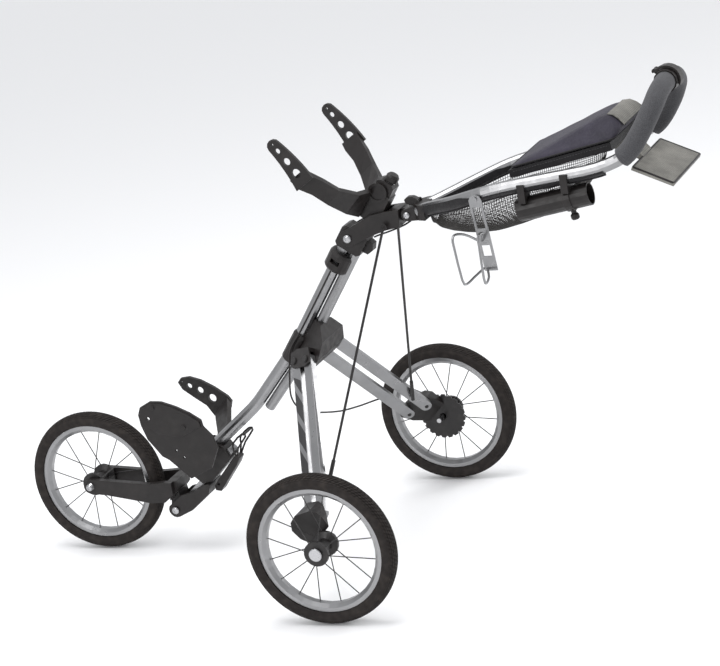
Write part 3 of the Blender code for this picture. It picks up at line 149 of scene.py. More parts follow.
# %% [markdown]
# ## A small kit for finishes
#
# Every finish here is a network of nodes over the object's own coordinates, in metres, so the
# grain keeps its real size on every piece and travels with it. The helpers below add one node,
# make a noise at a given size, mix two colours by a mask, and turn a pattern into bump.

# %% Finish helpers
class Finish:
    """One material under construction: its tree, its shader and the object's coordinates."""

    def __init__(self, name, colour, roughness, metallic=0.0):
        self.material = bpy.data.materials.new(name)
        self.material.use_nodes = True
        self.tree = self.material.node_tree
        self.shader = self.tree.nodes["Principled BSDF"]
        self.shader.inputs["Base Color"].default_value = (*colour, 1.0)
        self.shader.inputs["Roughness"].default_value = roughness
        self.shader.inputs["Metallic"].default_value = metallic
        self.place = self.node("ShaderNodeTexCoord").outputs["Object"]

    def node(self, kind, **settings):
        made = self.tree.nodes.new(kind)
        for name, value in settings.items():
            setattr(made, name, value)
        return made

    def link(self, out, into):
        self.tree.links.new(out, into)
        return out

    def stretched(self, scale):
        """The coordinates, scaled unevenly, for brushed or woven patterns."""
        mapping = self.node("ShaderNodeMapping")
        mapping.inputs["Scale"].default_value = scale
        self.link(self.place, mapping.inputs["Vector"])
        return mapping.outputs["Vector"]

    def grain(self, size, detail=3.0, place=None):
        """Noise whose lumps are about size metres across."""
        made = self.node("ShaderNodeTexNoise")
        made.inputs["Scale"].default_value = 1.0 / size
        made.inputs["Detail"].default_value = detail
        self.link(place or self.place, made.inputs["Vector"])
        return made.outputs["Fac"]

    def ramp(self, value, low, high, start=0.0, stop=1.0):
        """The value from low to high, spread over start to stop."""
        made = self.node("ShaderNodeMapRange")
        made.inputs["From Min"].default_value = low
        made.inputs["From Max"].default_value = high
        made.inputs["To Min"].default_value = start
        made.inputs["To Max"].default_value = stop
        self.link(value, made.inputs["Value"])
        return made.outputs["Result"]

    def math(self, operation, first, second=None):
        made = self.node("ShaderNodeMath", operation=operation)
        for socket, value in zip(made.inputs, (first, second)):
            if value is None:
                continue
            if isinstance(value, (int, float)):
                socket.default_value = value
            else:
                self.link(value, socket)
        return made.outputs["Value"]

    def mix(self, mask, first, second):
        """first where the mask is 0 and second where it is 1; each a colour or a socket."""
        made = self.node("ShaderNodeMix", data_type="RGBA")
        self.link(mask, made.inputs["Factor"])
        for socket, value in ((made.inputs["A"], first), (made.inputs["B"], second)):
            if isinstance(value, tuple):
                socket.default_value = (*value[:3], 1.0)
            else:
                self.link(value, socket)
        return made.outputs["Result"]

    def paint(self, colour=None, roughness=None):
        if colour is not None:
            self.link(colour, self.shader.inputs["Base Color"])
        if roughness is not None:
            self.link(roughness, self.shader.inputs["Roughness"])

    def bump(self, height, depth, strength=1.0):
        """Bump of the given depth in metres."""
        made = self.node("ShaderNodeBump")
        made.inputs["Distance"].default_value = depth
        made.inputs["Strength"].default_value = strength
        self.link(height, made.inputs["Height"])
        previous = self.shader.inputs["Normal"].links
        if previous:
            self.link(previous[0].from_socket, made.inputs["Normal"])
        self.link(made.outputs["Normal"], self.shader.inputs["Normal"])

    def axis(self, name):
        split = self.node("ShaderNodeSeparateXYZ")
        self.link(self.place, split.inputs["Vector"])
        return split.outputs[name]


print("finish helpers ready")


# %% [markdown]
# ## Metals
#
# The frame is satin anodised aluminium: metallic, with a roughness that wanders a little where
# hands and bags have rubbed, and a fine grain drawn along the tube. The cage and the bolts are
# brighter. Painted steel is nearly black with a soft sheen and a slight orange-peel texture.

# %% Metals
def satin_aluminium(name="satin_aluminium", colour=(0.30, 0.30, 0.305), roughness=0.30):
    finish = Finish(name, colour, roughness, 1.0)
    lightness = finish.grain(0.060, 2.0)
    worn = tuple(c * 0.90 for c in colour)
    drawn = finish.grain(0.0011, 2.0, finish.stretched((1.0, 0.16, 0.16)))
    finish.paint(finish.mix(finish.ramp(lightness, 0.35, 0.65), worn, colour),
                 finish.ramp(finish.grain(0.018, 4.0), 0.30, 0.75, roughness - 0.05,
                             roughness + 0.11))
    finish.bump(drawn, 0.00004, 0.45)
    return finish.material


def bright_steel():
    finish = Finish("bright_steel", (0.42, 0.42, 0.43), 0.20, 1.0)
    finish.paint(None, finish.ramp(finish.grain(0.0040, 4.0), 0.30, 0.75, 0.14, 0.32))
    finish.bump(finish.grain(0.0006, 2.0), 0.00002, 0.4)
    return finish.material


def painted_steel():
    finish = Finish("painted_steel", (0.030, 0.027, 0.027), 0.36, 0.25)
    dust = finish.ramp(finish.grain(0.022, 5.0), 0.52, 0.80)
    finish.paint(finish.mix(dust, (0.013, 0.0115, 0.0115), (0.026, 0.023, 0.022)),
                 finish.ramp(finish.grain(0.009, 4.0), 0.30, 0.75, 0.28, 0.50))
    finish.bump(finish.grain(0.0009, 2.0), 0.00003, 0.5)
    return finish.material


def striped_bar():
    """Leg bar: satin aluminium with plain dark dashes along its outer face."""
    finish = Finish("striped_leg_bar", (0.60, 0.605, 0.61), 0.34, 1.0)
    height = finish.axis("Z")
    slant = finish.math("MULTIPLY", finish.axis("Y"), 0.55)
    along = finish.math("ADD", height, slant)
    beat = finish.math("FRACT", finish.math("DIVIDE", along, 0.036))
    dash = finish.math("GREATER_THAN", beat, 0.30)
    reach = finish.math("MULTIPLY", finish.math("GREATER_THAN", height, 0.235),
                        finish.math("LESS_THAN", height, 0.385))
    face = finish.node("ShaderNodeNewGeometry")
    facing = finish.node("ShaderNodeVectorMath", operation="DOT_PRODUCT")
    finish.link(face.outputs["Normal"], facing.inputs[0])
    facing.inputs[1].default_value = (0.686, -0.531, 0.495)
    front = finish.math("GREATER_THAN", facing.outputs["Value"], 0.9)
    mask = finish.math("MULTIPLY", finish.math("MULTIPLY", dash, reach), front)
    satin = finish.mix(finish.ramp(finish.grain(0.060, 2.0), 0.35, 0.65), (0.27, 0.27, 0.275),
                       (0.32, 0.32, 0.325))
    finish.paint(finish.mix(mask, satin, (0.012, 0.011, 0.012)),
                 finish.ramp(finish.grain(0.018, 4.0), 0.30, 0.75, 0.29, 0.44))
    finish.link(finish.math("SUBTRACT", 1.0, mask), finish.shader.inputs["Metallic"])
    finish.bump(finish.grain(0.0011, 2.0, finish.stretched((0.4, 0.4, 0.16))), 0.00004, 0.4)
    return finish.material


METALS = {"aluminium": satin_aluminium(), "bright_steel": bright_steel(),
          "black_steel": painted_steel()}
print("metals", sorted(METALS))


# %% [markdown]
# ## Moulded plastic, rubber and foam
#
# Moulded nylon is a warm black with a spark-eroded grain, a touch glossier on the high spots.
# Rubber is browner and much rougher, with road dust in it. Foam has open pores, drawn as a
# cell texture that sinks them as bump and paints their shade into the colour as darker pits.

# %% Moulded plastic, rubber and foam
def moulded_plastic():
    finish = Finish("moulded_plastic", (0.026, 0.022, 0.021), 0.42)
    dust = finish.ramp(finish.grain(0.030, 5.0), 0.50, 0.85)
    finish.paint(finish.mix(dust, (0.0105, 0.0085, 0.0082), (0.0210, 0.0175, 0.0165)),
                 finish.ramp(finish.grain(0.014, 4.0), 0.28, 0.75, 0.30, 0.56))
    finish.bump(finish.grain(0.0010, 3.0), 0.00006, 0.55)
    finish.shader.inputs["Specular IOR Level"].default_value = 0.35
    return finish.material


def tyre_rubber():
    finish = Finish("tyre_rubber", (0.034, 0.028, 0.025), 0.80)
    dust = finish.ramp(finish.grain(0.012, 6.0), 0.45, 0.80)
    finish.shader.inputs["Specular IOR Level"].default_value = 0.25
    finish.paint(finish.mix(dust, (0.014, 0.0110, 0.0100), (0.034, 0.028, 0.0245)),
                 finish.ramp(finish.grain(0.0060, 4.0), 0.30, 0.75, 0.62, 0.90))
    finish.bump(finish.grain(0.0008, 3.0), 0.00008, 0.6)
    return finish.material


def grip_foam():
    finish = Finish("grip_foam", (0.080, 0.080, 0.084), 0.92)
    cells = finish.node("ShaderNodeTexVoronoi")
    cells.inputs["Scale"].default_value = 1.0 / 0.0013
    finish.link(finish.place, cells.inputs["Vector"])
    pore_pits_and_shade = finish.ramp(cells.outputs["Distance"], 0.05, 0.55)
    finish.shader.inputs["Specular IOR Level"].default_value = 0.20
    # Painted shade: the pits, where the cell mask is low, take the darker colour; the foam itself
    # is the lighter grey.
    finish.paint(finish.mix(pore_pits_and_shade, (0.022, 0.022, 0.024), (0.075, 0.075, 0.080)),
                 finish.ramp(finish.grain(0.010, 3.0), 0.30, 0.75, 0.82, 0.96))
    finish.bump(pore_pits_and_shade, 0.00022, 0.7)
    finish.shader.inputs["Sheen Weight"].default_value = 0.08
    return finish.material


MOULDED = {"black_plastic": moulded_plastic(), "tyre_rubber": tyre_rubber(),
           "grip_foam": grip_foam()}
print("moulded finishes", sorted(MOULDED))


# %% [markdown]
# ## Cloth
#
# The console is sewn from coated pack cloth, nearly black with a blue cast, in a plain weave
# that repeats about every millimetre. The flap and the card panel are a lighter grey. A plain
# weave is two waves at right angles: where one yarn is high, the crossing one is low.

# %% Cloth
WAVE_PERIOD = 0.31416


def woven(name, colour, yarn=0.0011, roughness=0.72):
    finish = Finish(name, colour, roughness)
    waves = []
    for direction in ("X", "Y"):
        wave = finish.node("ShaderNodeTexWave", bands_direction=direction)
        wave.inputs["Scale"].default_value = WAVE_PERIOD / yarn
        wave.inputs["Distortion"].default_value = 0.6
        wave.inputs["Detail"].default_value = 1.0
        finish.link(finish.place, wave.inputs["Vector"])
        waves.append(wave.outputs["Fac"])
    weave_height_and_shade = finish.math("MAXIMUM", *waves)
    shade = finish.ramp(finish.grain(0.035, 4.0), 0.30, 0.75)
    dark = tuple(c * 0.62 for c in colour)
    light = tuple(min(1.0, c * 1.18) for c in colour)
    body = finish.mix(shade, dark, light)
    # Painted shade: where the yarns dip, the colour falls to 0.40 of the cloth's own, as shade in
    # the grooves between them.
    finish.paint(finish.mix(finish.ramp(weave_height_and_shade, 0.25, 0.85), tuple(c * 0.40 for c in colour), body),
                 finish.ramp(finish.grain(0.0045, 3.0), 0.30, 0.75, roughness - 0.10,
                             roughness + 0.12))
    finish.bump(weave_height_and_shade, 0.00012, 0.55)
    finish.shader.inputs["Sheen Weight"].default_value = 0.06
    finish.shader.inputs["Specular IOR Level"].default_value = 0.25
    finish.shader.inputs["Sheen Roughness"].default_value = 0.5
    return finish.material


CLOTH = {"tray_fabric": woven("pack_cloth", (0.034, 0.030, 0.046)),
         "panel_grey": woven("grey_panel_cloth", (0.215, 0.208, 0.188), 0.0022),
         "mesh_grey": woven("net_yarn", (0.052, 0.048, 0.045), 0.0007, 0.66)}
BINDING = woven("binding_tape", (0.011, 0.010, 0.0115), 0.0009, 0.62)
THREAD = woven("stitching_thread", (0.090, 0.088, 0.092), 0.0004, 0.60)
FINISHES = {**METALS, **MOULDED, **CLOTH}
print("cloths", [material.name for material in CLOTH.values()])


# %% [markdown]
# ## Finishing the solid nodes
#
# Each node keeps its shape and takes the finish of its slot. Real mouldings have no knife edges,
# so the plastic, painted steel, aluminium, bright steel and grey panel nodes, apart from the
# tyres, rims, spoked wheels and main tube, also get a welded, bevelled edge as modifiers, which
# leave the node's own points alone.

# %% Finish the solid nodes
EDGE = {"black_plastic": 0.0009, "black_steel": 0.0005, "aluminium": 0.0005,
        "bright_steel": 0.0004, "panel_grey": 0.0010}
SHARP = radians(32.0)


def slot_of(obj):
    name = obj.data.materials[0].name if obj.data.materials else "black_plastic"
    return next((slot for slot in FINISHES if name.startswith(slot)), "black_plastic")


def soften_edges(obj, width):
    weld = obj.modifiers.new("weld", "WELD")
    weld.merge_threshold = 0.00002
    bevel = obj.modifiers.new("edge", "BEVEL")
    bevel.width = width
    bevel.segments = 2
    bevel.limit_method = "ANGLE"
    bevel.angle_limit = SHARP
    bevel.use_clamp_overlap = True
    bevel.harden_normals = True


SLOTS = {}
for node, obj in NODES.items():
    SLOTS[node] = slot_of(obj)
    finish = FINISHES[SLOTS[node]]
    if node.startswith("leg_front_bar"):
        finish = bpy.data.materials.get("striped_leg_bar") or striped_bar()
    if node == "console_tray":
        finish = BINDING
    if obj.data.materials:
        obj.data.materials[0] = finish
    else:
        obj.data.materials.append(finish)
    if SLOTS[node] in EDGE and not node.startswith(("tyre", "rim", "spoked", "main_tube")):
        soften_edges(obj, EDGE[SLOTS[node]])
print("slots", {slot: sum(s == slot for s in SLOTS.values()) for slot in FINISHES})


# %% [markdown]
# ## Making pieces
#
# New pieces are drawn as rings of points joined with quads, which suits tubes, straps and
# cushions alike. The helper below makes the object, shades it, gives it a finish, and lets it
# ride on the same body as the CAD node it belongs to.

# %% Piece helpers
def add_piece(name, shape, finish, near, sharp=40.0):
    """near is the CAD node whose body the piece rides on."""
    bmesh.ops.recalc_face_normals(shape, faces=shape.faces)
    mesh = bpy.data.meshes.new(name)
    shape.to_mesh(mesh)
    shape.free()
    mesh.materials.append(finish)
    mesh.shade_smooth()
    mesh.set_sharp_from_angle(angle=radians(sharp))
    obj = bpy.data.objects.new(name, mesh)
    bpy.context.collection.objects.link(obj)
    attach(obj, next(b for b, empty in frame["bodies"].items() if empty == BODY_OF[near]))
    return obj


def skin(rings, closed_rings=True, caps=True, loop=False):
    """Quads between equal rings of points."""
    shape = bmesh.new()
    rows = [[shape.verts.new(point) for point in ring] for ring in rings]
    count = len(rows[0])
    pairs = list(zip(rows, rows[1:]))
    if loop:
        pairs.append((rows[-1], rows[0]))
    for low, high in pairs:
        for i in range(count if closed_rings else count - 1):
            j = (i + 1) % count
            shape.faces.new((low[i], low[j], high[j], high[i]))
    if caps and closed_rings and not loop:
        shape.faces.new(rows[0][::-1])
        shape.faces.new(rows[-1])
    return shape


def tube_along(points, radius, sides=10, loop=False):
    """A round tube through the points; loop joins its end to its start."""
    points = [Vector(p) for p in points]
    rings = []
    side = None
    for i, point in enumerate(points):
        if loop:
            ahead = (points[(i + 1) % len(points)] - points[i - 1]).normalized()
        else:
            ahead = (points[min(i + 1, len(points) - 1)] - points[max(i - 1, 0)]).normalized()
        side = side or ahead.orthogonal()
        side = (side - ahead * side.dot(ahead)).normalized()
        other = ahead.cross(side)
        rings.append([point + (side * cos(2 * pi * k / sides) + other * sin(2 * pi * k / sides))
                      * radius for k in range(sides)])
    return skin(rings, loop=loop)


def rounded(points, per_span=5, loop=False):
    """Catmull-Rom curve through the points."""
    points = [Vector(p) for p in points]
    count = len(points)
    if loop:
        spans = [[points[(i + k - 1) % count] for k in range(4)] for i in range(count)]
    else:
        ends = [points[0] * 2 - points[1]] + points + [points[-1] * 2 - points[-2]]
        spans = [ends[i:i + 4] for i in range(count - 1)]
    path = []
    for before, start, stop, after in spans:
        for step in range(per_span):
            t = step / per_span
            path.append(0.5 * (2 * start + (stop - before) * t
                               + (2 * before - 5 * start + 4 * stop - after) * t ** 2
                               + (3 * start - before - 3 * stop + after) * t ** 3))
    if not loop:
        path.append(points[-1])
    return path


print("piece helpers ready")


# %% [markdown]
# ## Tyres
#
# The solid tyres are smooth rings. A real pneumatic tyre has a round crown, slimmer sidewalls
# and rows of small blocks in a chevron. A displacement would need millions of faces for that, so
# the crown is drawn as a grid sheared into chevrons, and each cell of it is inset and raised.

# %% Tyres
TYRE_STEPS = 112
TREAD_ANGLE = 64.0
BLOCK_HEIGHT = 0.0017
BLOCK_GAP = 0.0010


def tyre_section(radius, half, bead):
    """(x, radius, angle) stations from bead to bead over the crown."""
    stations = []
    for angle in (-125, -108, -90, -76) + tuple(range(-64, 65, 16)) + (76, 90, 108, 125):
        a = radians(abs(angle))
        if abs(angle) <= 90:
            r = radius - (radius - bead) * 0.52 * (1 - cos(a))
        else:
            side = radius - (radius - bead) * 0.52
            r = side - (side - bead) * (abs(angle) - 90) / 35
        stations.append((half * sin(a) * (1 if angle > 0 else -1), r, angle))
    return stations


def treaded_tyre(node):
    low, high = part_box(node)
    centre = (low + high) / 2
    radius = (high.z - low.z) / 2 - BLOCK_HEIGHT
    half = (high.x - low.x) / 2
    bead = radius - 0.0240
    stations = tyre_section(radius, half, bead)
    rings = []
    for step in range(TYRE_STEPS):
        ring = []
        for x, r, angle in stations:
            lean = 1.7 * min(abs(angle), TREAD_ANGLE) / TREAD_ANGLE
            turned = 2 * pi * (step + lean) / TYRE_STEPS
            ring.append(centre + Vector((x, r * cos(turned), r * sin(turned))))
        rings.append(ring)
    shape = skin(rings, loop=True)
    count = len(stations)
    first = next(i for i, s in enumerate(stations) if s[2] == -TREAD_ANGLE)
    last = next(i for i, s in enumerate(stations) if s[2] == TREAD_ANGLE)
    bmesh.ops.recalc_face_normals(shape, faces=shape.faces)
    shape.faces.ensure_lookup_table()
    blocks = [face for i, face in enumerate(shape.faces) if first <= i % count < last]
    bmesh.ops.inset_individual(shape, faces=blocks, thickness=BLOCK_GAP, depth=0.0)
    tops = [face for face in blocks if face.is_valid]
    made = bmesh.ops.extrude_discrete_faces(shape, faces=tops)
    for face in made["faces"]:
        for vert in face.verts:
            outward = vert.co - centre
            outward.x *= 0.5
            vert.co += outward.normalized() * BLOCK_HEIGHT
    piece = add_piece(node.replace("tyre", "treaded_tyre"), shape, MOULDED["tyre_rubber"], node,
                      sharp=28.0)
    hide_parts(node)
    return piece


for place in ("left", "right", "front"):
    made = treaded_tyre("tyre_" + place)
    print(made.name, len(made.data.polygons), "faces")


# %% [markdown]
# ## The handle's line
#
# The net bag hangs from the two handle tubes and the foam grip follows their arch, so both need
# the tube's centre line. It is a curve through a dozen points on the left side, mirrored for the
# right. Heights and widths are measured from the ground and the middle of the cart, and the third
# value from the rear axle, so the rear axle's place is added.

# %% Handle line
AXLE_LOW, AXLE_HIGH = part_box("tyre_left")
REAR_AXLE = (AXLE_LOW.y + AXLE_HIGH.y) / 2
HANDLE_POINTS = [(0.0180, 0.1580, 0.6935), (0.0300, 0.1880, 0.7030), (0.0800, 0.2500, 0.7230),
                 (0.1110, 0.3100, 0.7420), (0.1170, 0.3700, 0.7550), (0.1170, 0.4700, 0.7680),
                 (0.1150, 0.5500, 0.7790), (0.1120, 0.6020, 0.7990), (0.1050, 0.6350, 0.8380),
                 (0.0900, 0.6570, 0.8770), (0.0600, 0.6640, 0.8980), (0.0200, 0.6665, 0.9060)]
TUBE_RADIUS = 0.0122


def handle_line(per_span=6):
    left = [Vector((x, y + REAR_AXLE, z)) for x, y, z in HANDLE_POINTS]
    right = [Vector((-p.x, p.y, p.z)) for p in reversed(left)]
    return rounded(left + right, per_span)


LEFT_LINE = [p for p in handle_line() if p.x > 0.0]


def handle_at(y):
    """The left tube's centre where it is y behind the rear axle, on its lower straight part."""
    y = y + REAR_AXLE
    for start, stop in zip(LEFT_LINE, LEFT_LINE[1:]):
        if start.y <= y <= stop.y:
            return start.lerp(stop, (y - start.y) / max(stop.y - start.y, 1e-6))
    return LEFT_LINE[0] if y < LEFT_LINE[0].y else LEFT_LINE[-1]


print("handle line", len(LEFT_LINE), "points, arch top", round(LEFT_LINE[-1].z, 3))


# %% [markdown]
# ## Net bag
#
# The bag under the console is knitted net, sewn into a black sleeve that wraps the underside of
# both handle tubes. The sleeve holds it open and its belly sags under its own weight. A net that
# really has holes looks right from every side, so the sagging sheet is drawn as a lattice of
# cells and a Wireframe modifier turns its edges into yarn.

# %% Net bag
BAG_FRONT, BAG_REAR = 0.186, 0.500
BELLY = ((0.186, 0.668), (0.200, 0.657), (0.230, 0.650), (0.260, 0.6475), (0.320, 0.6495),
         (0.360, 0.656), (0.400, 0.6655), (0.440, 0.680), (0.475, 0.702), (0.500, 0.733))
CELL = 0.0042
YARN = 0.0016
NET_AROUND = 0.26
SLEEVE_OUTER, SLEEVE_INNER = 0.0019, 0.0006
SLEEVE_TURN = 112


def between(table, value):
    for (a, low), (b, high) in zip(table, table[1:]):
        if value <= b:
            t = max(0.0, (value - a) / (b - a))
            return low + (high - low) * t
    return table[-1][1]


def bag_rim(y, side):
    """Where the net meets its sleeve; it stands in from the tube beside the umbrella tube."""
    tube = handle_at(y)
    inward = 0.034 * max(0.0, min(1.0, (y - 0.335) / 0.045)) if side > 0 else 0.0
    return Vector((side * (tube.x - inward - 0.003), tube.y, tube.z - TUBE_RADIUS - 0.0006))


def bag_point(t, across):
    """A point of the sheet: across runs from -1 at the right rim to 1 at the left rim."""
    y = BAG_FRONT + (BAG_REAR - BAG_FRONT) * t
    left, right = bag_rim(y, 1), bag_rim(y, -1)
    middle, half = (left.x + right.x) / 2, (left.x - right.x) / 2
    angle = pi / 2 * across
    rim = left.z
    drop = (rim - between(BELLY, y)) * max(0.0, cos(angle)) ** 0.72
    ripple = 0.0022 * noise.noise(Vector((across * 2.6, t * 6.0, 0.4))) * cos(angle)
    return Vector((middle + half * sin(angle), left.y, rim - drop + ripple))


def net_bag():
    along = int((BAG_REAR - BAG_FRONT) / CELL)
    around = int(NET_AROUND / CELL)
    rings = [[bag_point(i / along, 2 * j / around - 1) for j in range(around + 1)]
             for i in range(along + 1)]
    piece = add_piece("net_bag", skin(rings, closed_rings=False), CLOTH["mesh_grey"], "mesh_bag")
    wire = piece.modifiers.new("yarn", "WIREFRAME")
    wire.thickness = YARN
    wire.use_even_offset = False
    wire.use_boundary = True
    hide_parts("mesh_bag")
    edge = [bag_point(0.0, 1.0 - 2 * k / 16) for k in range(17)]
    hem = add_piece("net_bag_front_hem", tube_along(edge, 0.0024, 8), BINDING, "mesh_bag")
    return piece


def bag_sleeve(side, front=0.176, rear=0.560):
    """Black cloth wrapped round the underside of one handle tube, with a rolled seam below it."""
    rings, seam = [], []
    steps = 44
    for i in range(steps + 1):
        y = front + (rear - front) * i / steps
        here, ahead = handle_at(y), handle_at(y + 0.004)
        along = (ahead - here).normalized()
        across = along.cross(Vector((0.0, 0.0, 1.0))).normalized()
        upward = across.cross(along)
        fade = 0.55 + 0.45 * max(0.0, min(1.0, (0.330 - y) / 0.05))
        ring = []
        outer, inner = TUBE_RADIUS + SLEEVE_OUTER, TUBE_RADIUS + SLEEVE_INNER
        for radius, turns in ((outer, range(9)), (inner, range(8, -1, -1))):
            for k in turns:
                angle = radians(-90 + fade * SLEEVE_TURN * (k / 4 - 1))
                ring.append(here + (across * cos(angle) + upward * sin(angle)) * radius)
        rings.append([Vector((p.x * side, p.y, p.z)) for p in ring])
        low = here - upward * (TUBE_RADIUS + 0.0030)
        seam.append(Vector((low.x * side, low.y, low.z)))
    label = "left" if side > 0 else "right"
    add_piece("bag_sleeve_" + label, skin(rings), BINDING, "handle_tube")
    add_piece("bag_seam_" + label, tube_along(seam, 0.0021, 8), BINDING, "handle_tube")


made = net_bag()
bag_sleeve(1)
bag_sleeve(-1)
print(made.name, len(made.data.polygons), "cells of", CELL * 1000, "mm")


# %% [markdown]
# ## Console
#
# The console is a shallow sewn tray with a padded wedge-shaped lid: low at the front, a high
# soft crest at the rear, and a grey flap that folds down behind it. The lid is a cushion, so it
# is lofted from rounded rings, subdivided, and dented a little with noise so that it never looks
# machined. Piping covers its lower seam and a thread runs beside it.

# %% Console lid and tray
LID_LOW, LID_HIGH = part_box("console_lid")
TRAY_LOW, TRAY_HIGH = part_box("console_tray")
SLOPE = Vector((0.0, 0.981, 0.194)).normalized()
LIFT = Vector((0.0, -0.194, 0.981)).normalized()
TRAY_FRONT = Vector((0.0, TRAY_LOW.y + 0.0150 * 0.194, TRAY_LOW.z))


def rounded_rectangle(centre, half, near, far, lift, corner, per_corner=5):
    """Points round a rectangle with soft corners, on a plane parallel to the tray's floor."""
    points = []
    for quarter, (sx, end) in enumerate(((1, far), (-1, far), (-1, near), (1, near))):
        inward = -1 if end == far else 1
        for k in range(per_corner + 1):
            angle = pi / 2 * (quarter + k / per_corner)
            x = sx * (half - corner) + corner * cos(angle)
            a = end + inward * corner + corner * sin(angle)
            points.append(centre + Vector((x, 0.0, 0.0)) + SLOPE * a + LIFT * lift)
    return points


def console_lid():
    rise = 0.0162
    sections = [(rise, 0.0060, 0.2040, 0.0940, 0.006),
                (rise + 0.001, 0.0045, 0.2080, 0.0965, 0.010),
                (rise + 0.004, 0.0060, 0.2130, 0.0975, 0.014),
                (rise + 0.009, 0.0250, 0.2190, 0.0940, 0.018),
                (rise + 0.015, 0.0580, 0.2215, 0.0870, 0.020),
                (rise + 0.022, 0.0900, 0.2200, 0.0790, 0.020),
                (rise + 0.030, 0.1250, 0.2160, 0.0710, 0.020),
                (rise + 0.036, 0.1500, 0.2110, 0.0640, 0.018),
                (rise + 0.0395, 0.1720, 0.2050, 0.0560, 0.014),
                (rise + 0.0405, 0.1820, 0.1980, 0.0440, 0.007)]
    rings = [rounded_rectangle(TRAY_FRONT, half, near, far, lift, corner)
             for lift, near, far, half, corner in sections]
    shape = skin(rings)
    bmesh.ops.subdivide_edges(shape, edges=shape.edges[:], cuts=1, use_grid_fill=True)
    for vert in shape.verts:
        lift = (vert.co - TRAY_FRONT).dot(LIFT) - rise
        if lift < 0.002:
            continue
        soft = noise.noise(vert.co * 34.0) * 0.0016 + noise.noise(vert.co * 90.0) * 0.0006
        vert.co += LIFT * soft
    piece = add_piece("padded_lid", shape, CLOTH["tray_fabric"], "console_lid", sharp=80.0)
    smooth = piece.modifiers.new("soft", "SUBSURF")
    smooth.levels = 1
    smooth.render_levels = 1
    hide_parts("console_lid")
    seam = rounded_rectangle(TRAY_FRONT, 0.0985, 0.0050, 0.2140, rise + 0.0032, 0.015)
    add_piece("lid_piping", tube_along(seam, 0.0017, 8, loop=True), BINDING, "console_lid")
    crest = [TRAY_FRONT + SLOPE * 0.203 + LIFT * (rise + 0.0385) + Vector((x, 0.0, 0.0))
             for x in (0.050, 0.035, 0.0, -0.035, -0.050)]
    add_piece("lid_crest_seam", tube_along(rounded(crest), 0.0014, 8), BINDING, "console_lid")
    return piece


def rear_flap():
    """Grey flap that hangs from the crest over the lid's rear face."""
    rows = []
    sides = 12
    outline = ((0.196, 0.0578, 0.052), (0.2085, 0.0545, 0.059), (0.2175, 0.0465, 0.062),
               (0.2235, 0.0375, 0.063), (0.2255, 0.0320, 0.062))
    for out, stations in ((0.0016, outline), (0.0002, outline[::-1])):
        for a, lift, half in stations:
            row = []
            for k in range(sides + 1):
                x = half * (1 - k / (sides / 2))
                sag = 0.0012 * noise.noise(Vector((x * 30.0, lift * 60.0, 1.7)))
                row.append(TRAY_FRONT + SLOPE * (a + out + sag) + LIFT * (lift + out * 0.6)
                           + Vector((x, 0.0, 0.0)))
            rows.append(row)
    shape = skin(rows, closed_rings=False, loop=True)
    bmesh.ops.holes_fill(shape, edges=[e for e in shape.edges if e.is_boundary])
    piece = add_piece("rear_flap", shape, CLOTH["panel_grey"], "console_lid")
    lower_edge = rows[len(outline) - 1]
    add_piece("rear_flap_binding", tube_along(lower_edge, 0.0014, 8), BINDING, "console_lid")
    return piece


made = console_lid()
print(made.name, len(made.data.polygons), "faces")
made = rear_flap()
print(made.name, len(made.data.polygons), "faces")


# %% [markdown]
# ## Card panel
#
# Behind the grip a flat grey panel holds the scorecard. Its edge is bound with dark cord, drawn
# once round as a thin bar with rounded corners.

# %% Card panel border
CARD_LOW, CARD_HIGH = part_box("scorecard_holder")
CARD_SLOPE = Vector((0.0, 0.904, -0.427)).normalized()
CARD_LIFT = Vector((0.0, 0.427, 0.904)).normalized()
CARD_CENTRE = Vector((0.0, CARD_HIGH.y - 0.0410 * 0.904 - 0.0035 * 0.427, 0.7535))


def card_point(x, back, lift):
    return CARD_CENTRE + Vector((x, 0.0, 0.0)) + CARD_SLOPE * back + CARD_LIFT * lift


def card_border():
    corners = []
    for quarter, (sx, sy) in enumerate(((1, 1), (-1, 1), (-1, -1), (1, -1))):
        for k in range(5):
            angle = pi / 2 * (quarter + k / 4)
            corners.append(card_point(sx * 0.0960 + 0.0025 * cos(angle),
                                      sy * 0.0370 + 0.0025 * sin(angle), 0.0026))
    return add_piece("card_border", tube_along(corners, 0.0021, 8, loop=True),
                     MOULDED["black_plastic"], "scorecard_holder")


print(card_border().name)


# %% [markdown]
# ## Foam grip
#
# The handle's arch is covered in soft foam. It is drawn round the same line as the tube, with
# rolled ends and a radius that swells and dips by a fraction of a millimetre, as foam does.

# %% Foam grip
GRIP_RADIUS = 0.0190
GRIP_START = 0.5950
GRIP_SIDES = 28
SWELL = 0.0004


def foam_grip():
    line = [p for p in handle_line(8) if p.y > GRIP_START + REAR_AXLE]
    rings = []
    side = Vector((1.0, 0.0, 0.0))
    for i, point in enumerate(line):
        ahead = (line[min(i + 1, len(line) - 1)] - line[max(i - 1, 0)]).normalized()
        side = (side - ahead * side.dot(ahead)).normalized()
        other = ahead.cross(side)
        ring = []
        for k in range(GRIP_SIDES):
            turned = 2 * pi * k / GRIP_SIDES
            outward = side * cos(turned) + other * sin(turned)
            swell = SWELL * noise.noise((point + outward * 0.02) * 28.0)
            ring.append(point + outward * (GRIP_RADIUS - 0.0003 + swell))
        rings.append(ring)
    for end, step in ((0, 1), (-1, -1)):
        centre = line[end]
        inward = (line[end + step] - centre).normalized()
        for shrink, back in ((0.93, 0.0012), (0.78, 0.0028)):
            ring = [centre - inward * back + (p - line[end]) * shrink
                    for p in (rings[0] if end == 0 else rings[-1])]
            if end == 0:
                rings.insert(0, ring)
            else:
                rings.append(ring)
    grip = add_piece("foam_grip", skin(rings), MOULDED["grip_foam"], "handle_grip", sharp=60.0)
    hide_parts("handle_grip")
    return grip


print(foam_grip().name)


# %% [markdown]
# ## Stitching
#
# A row of short raised threads runs along each side of the tray, where its cloth wall is sewn.

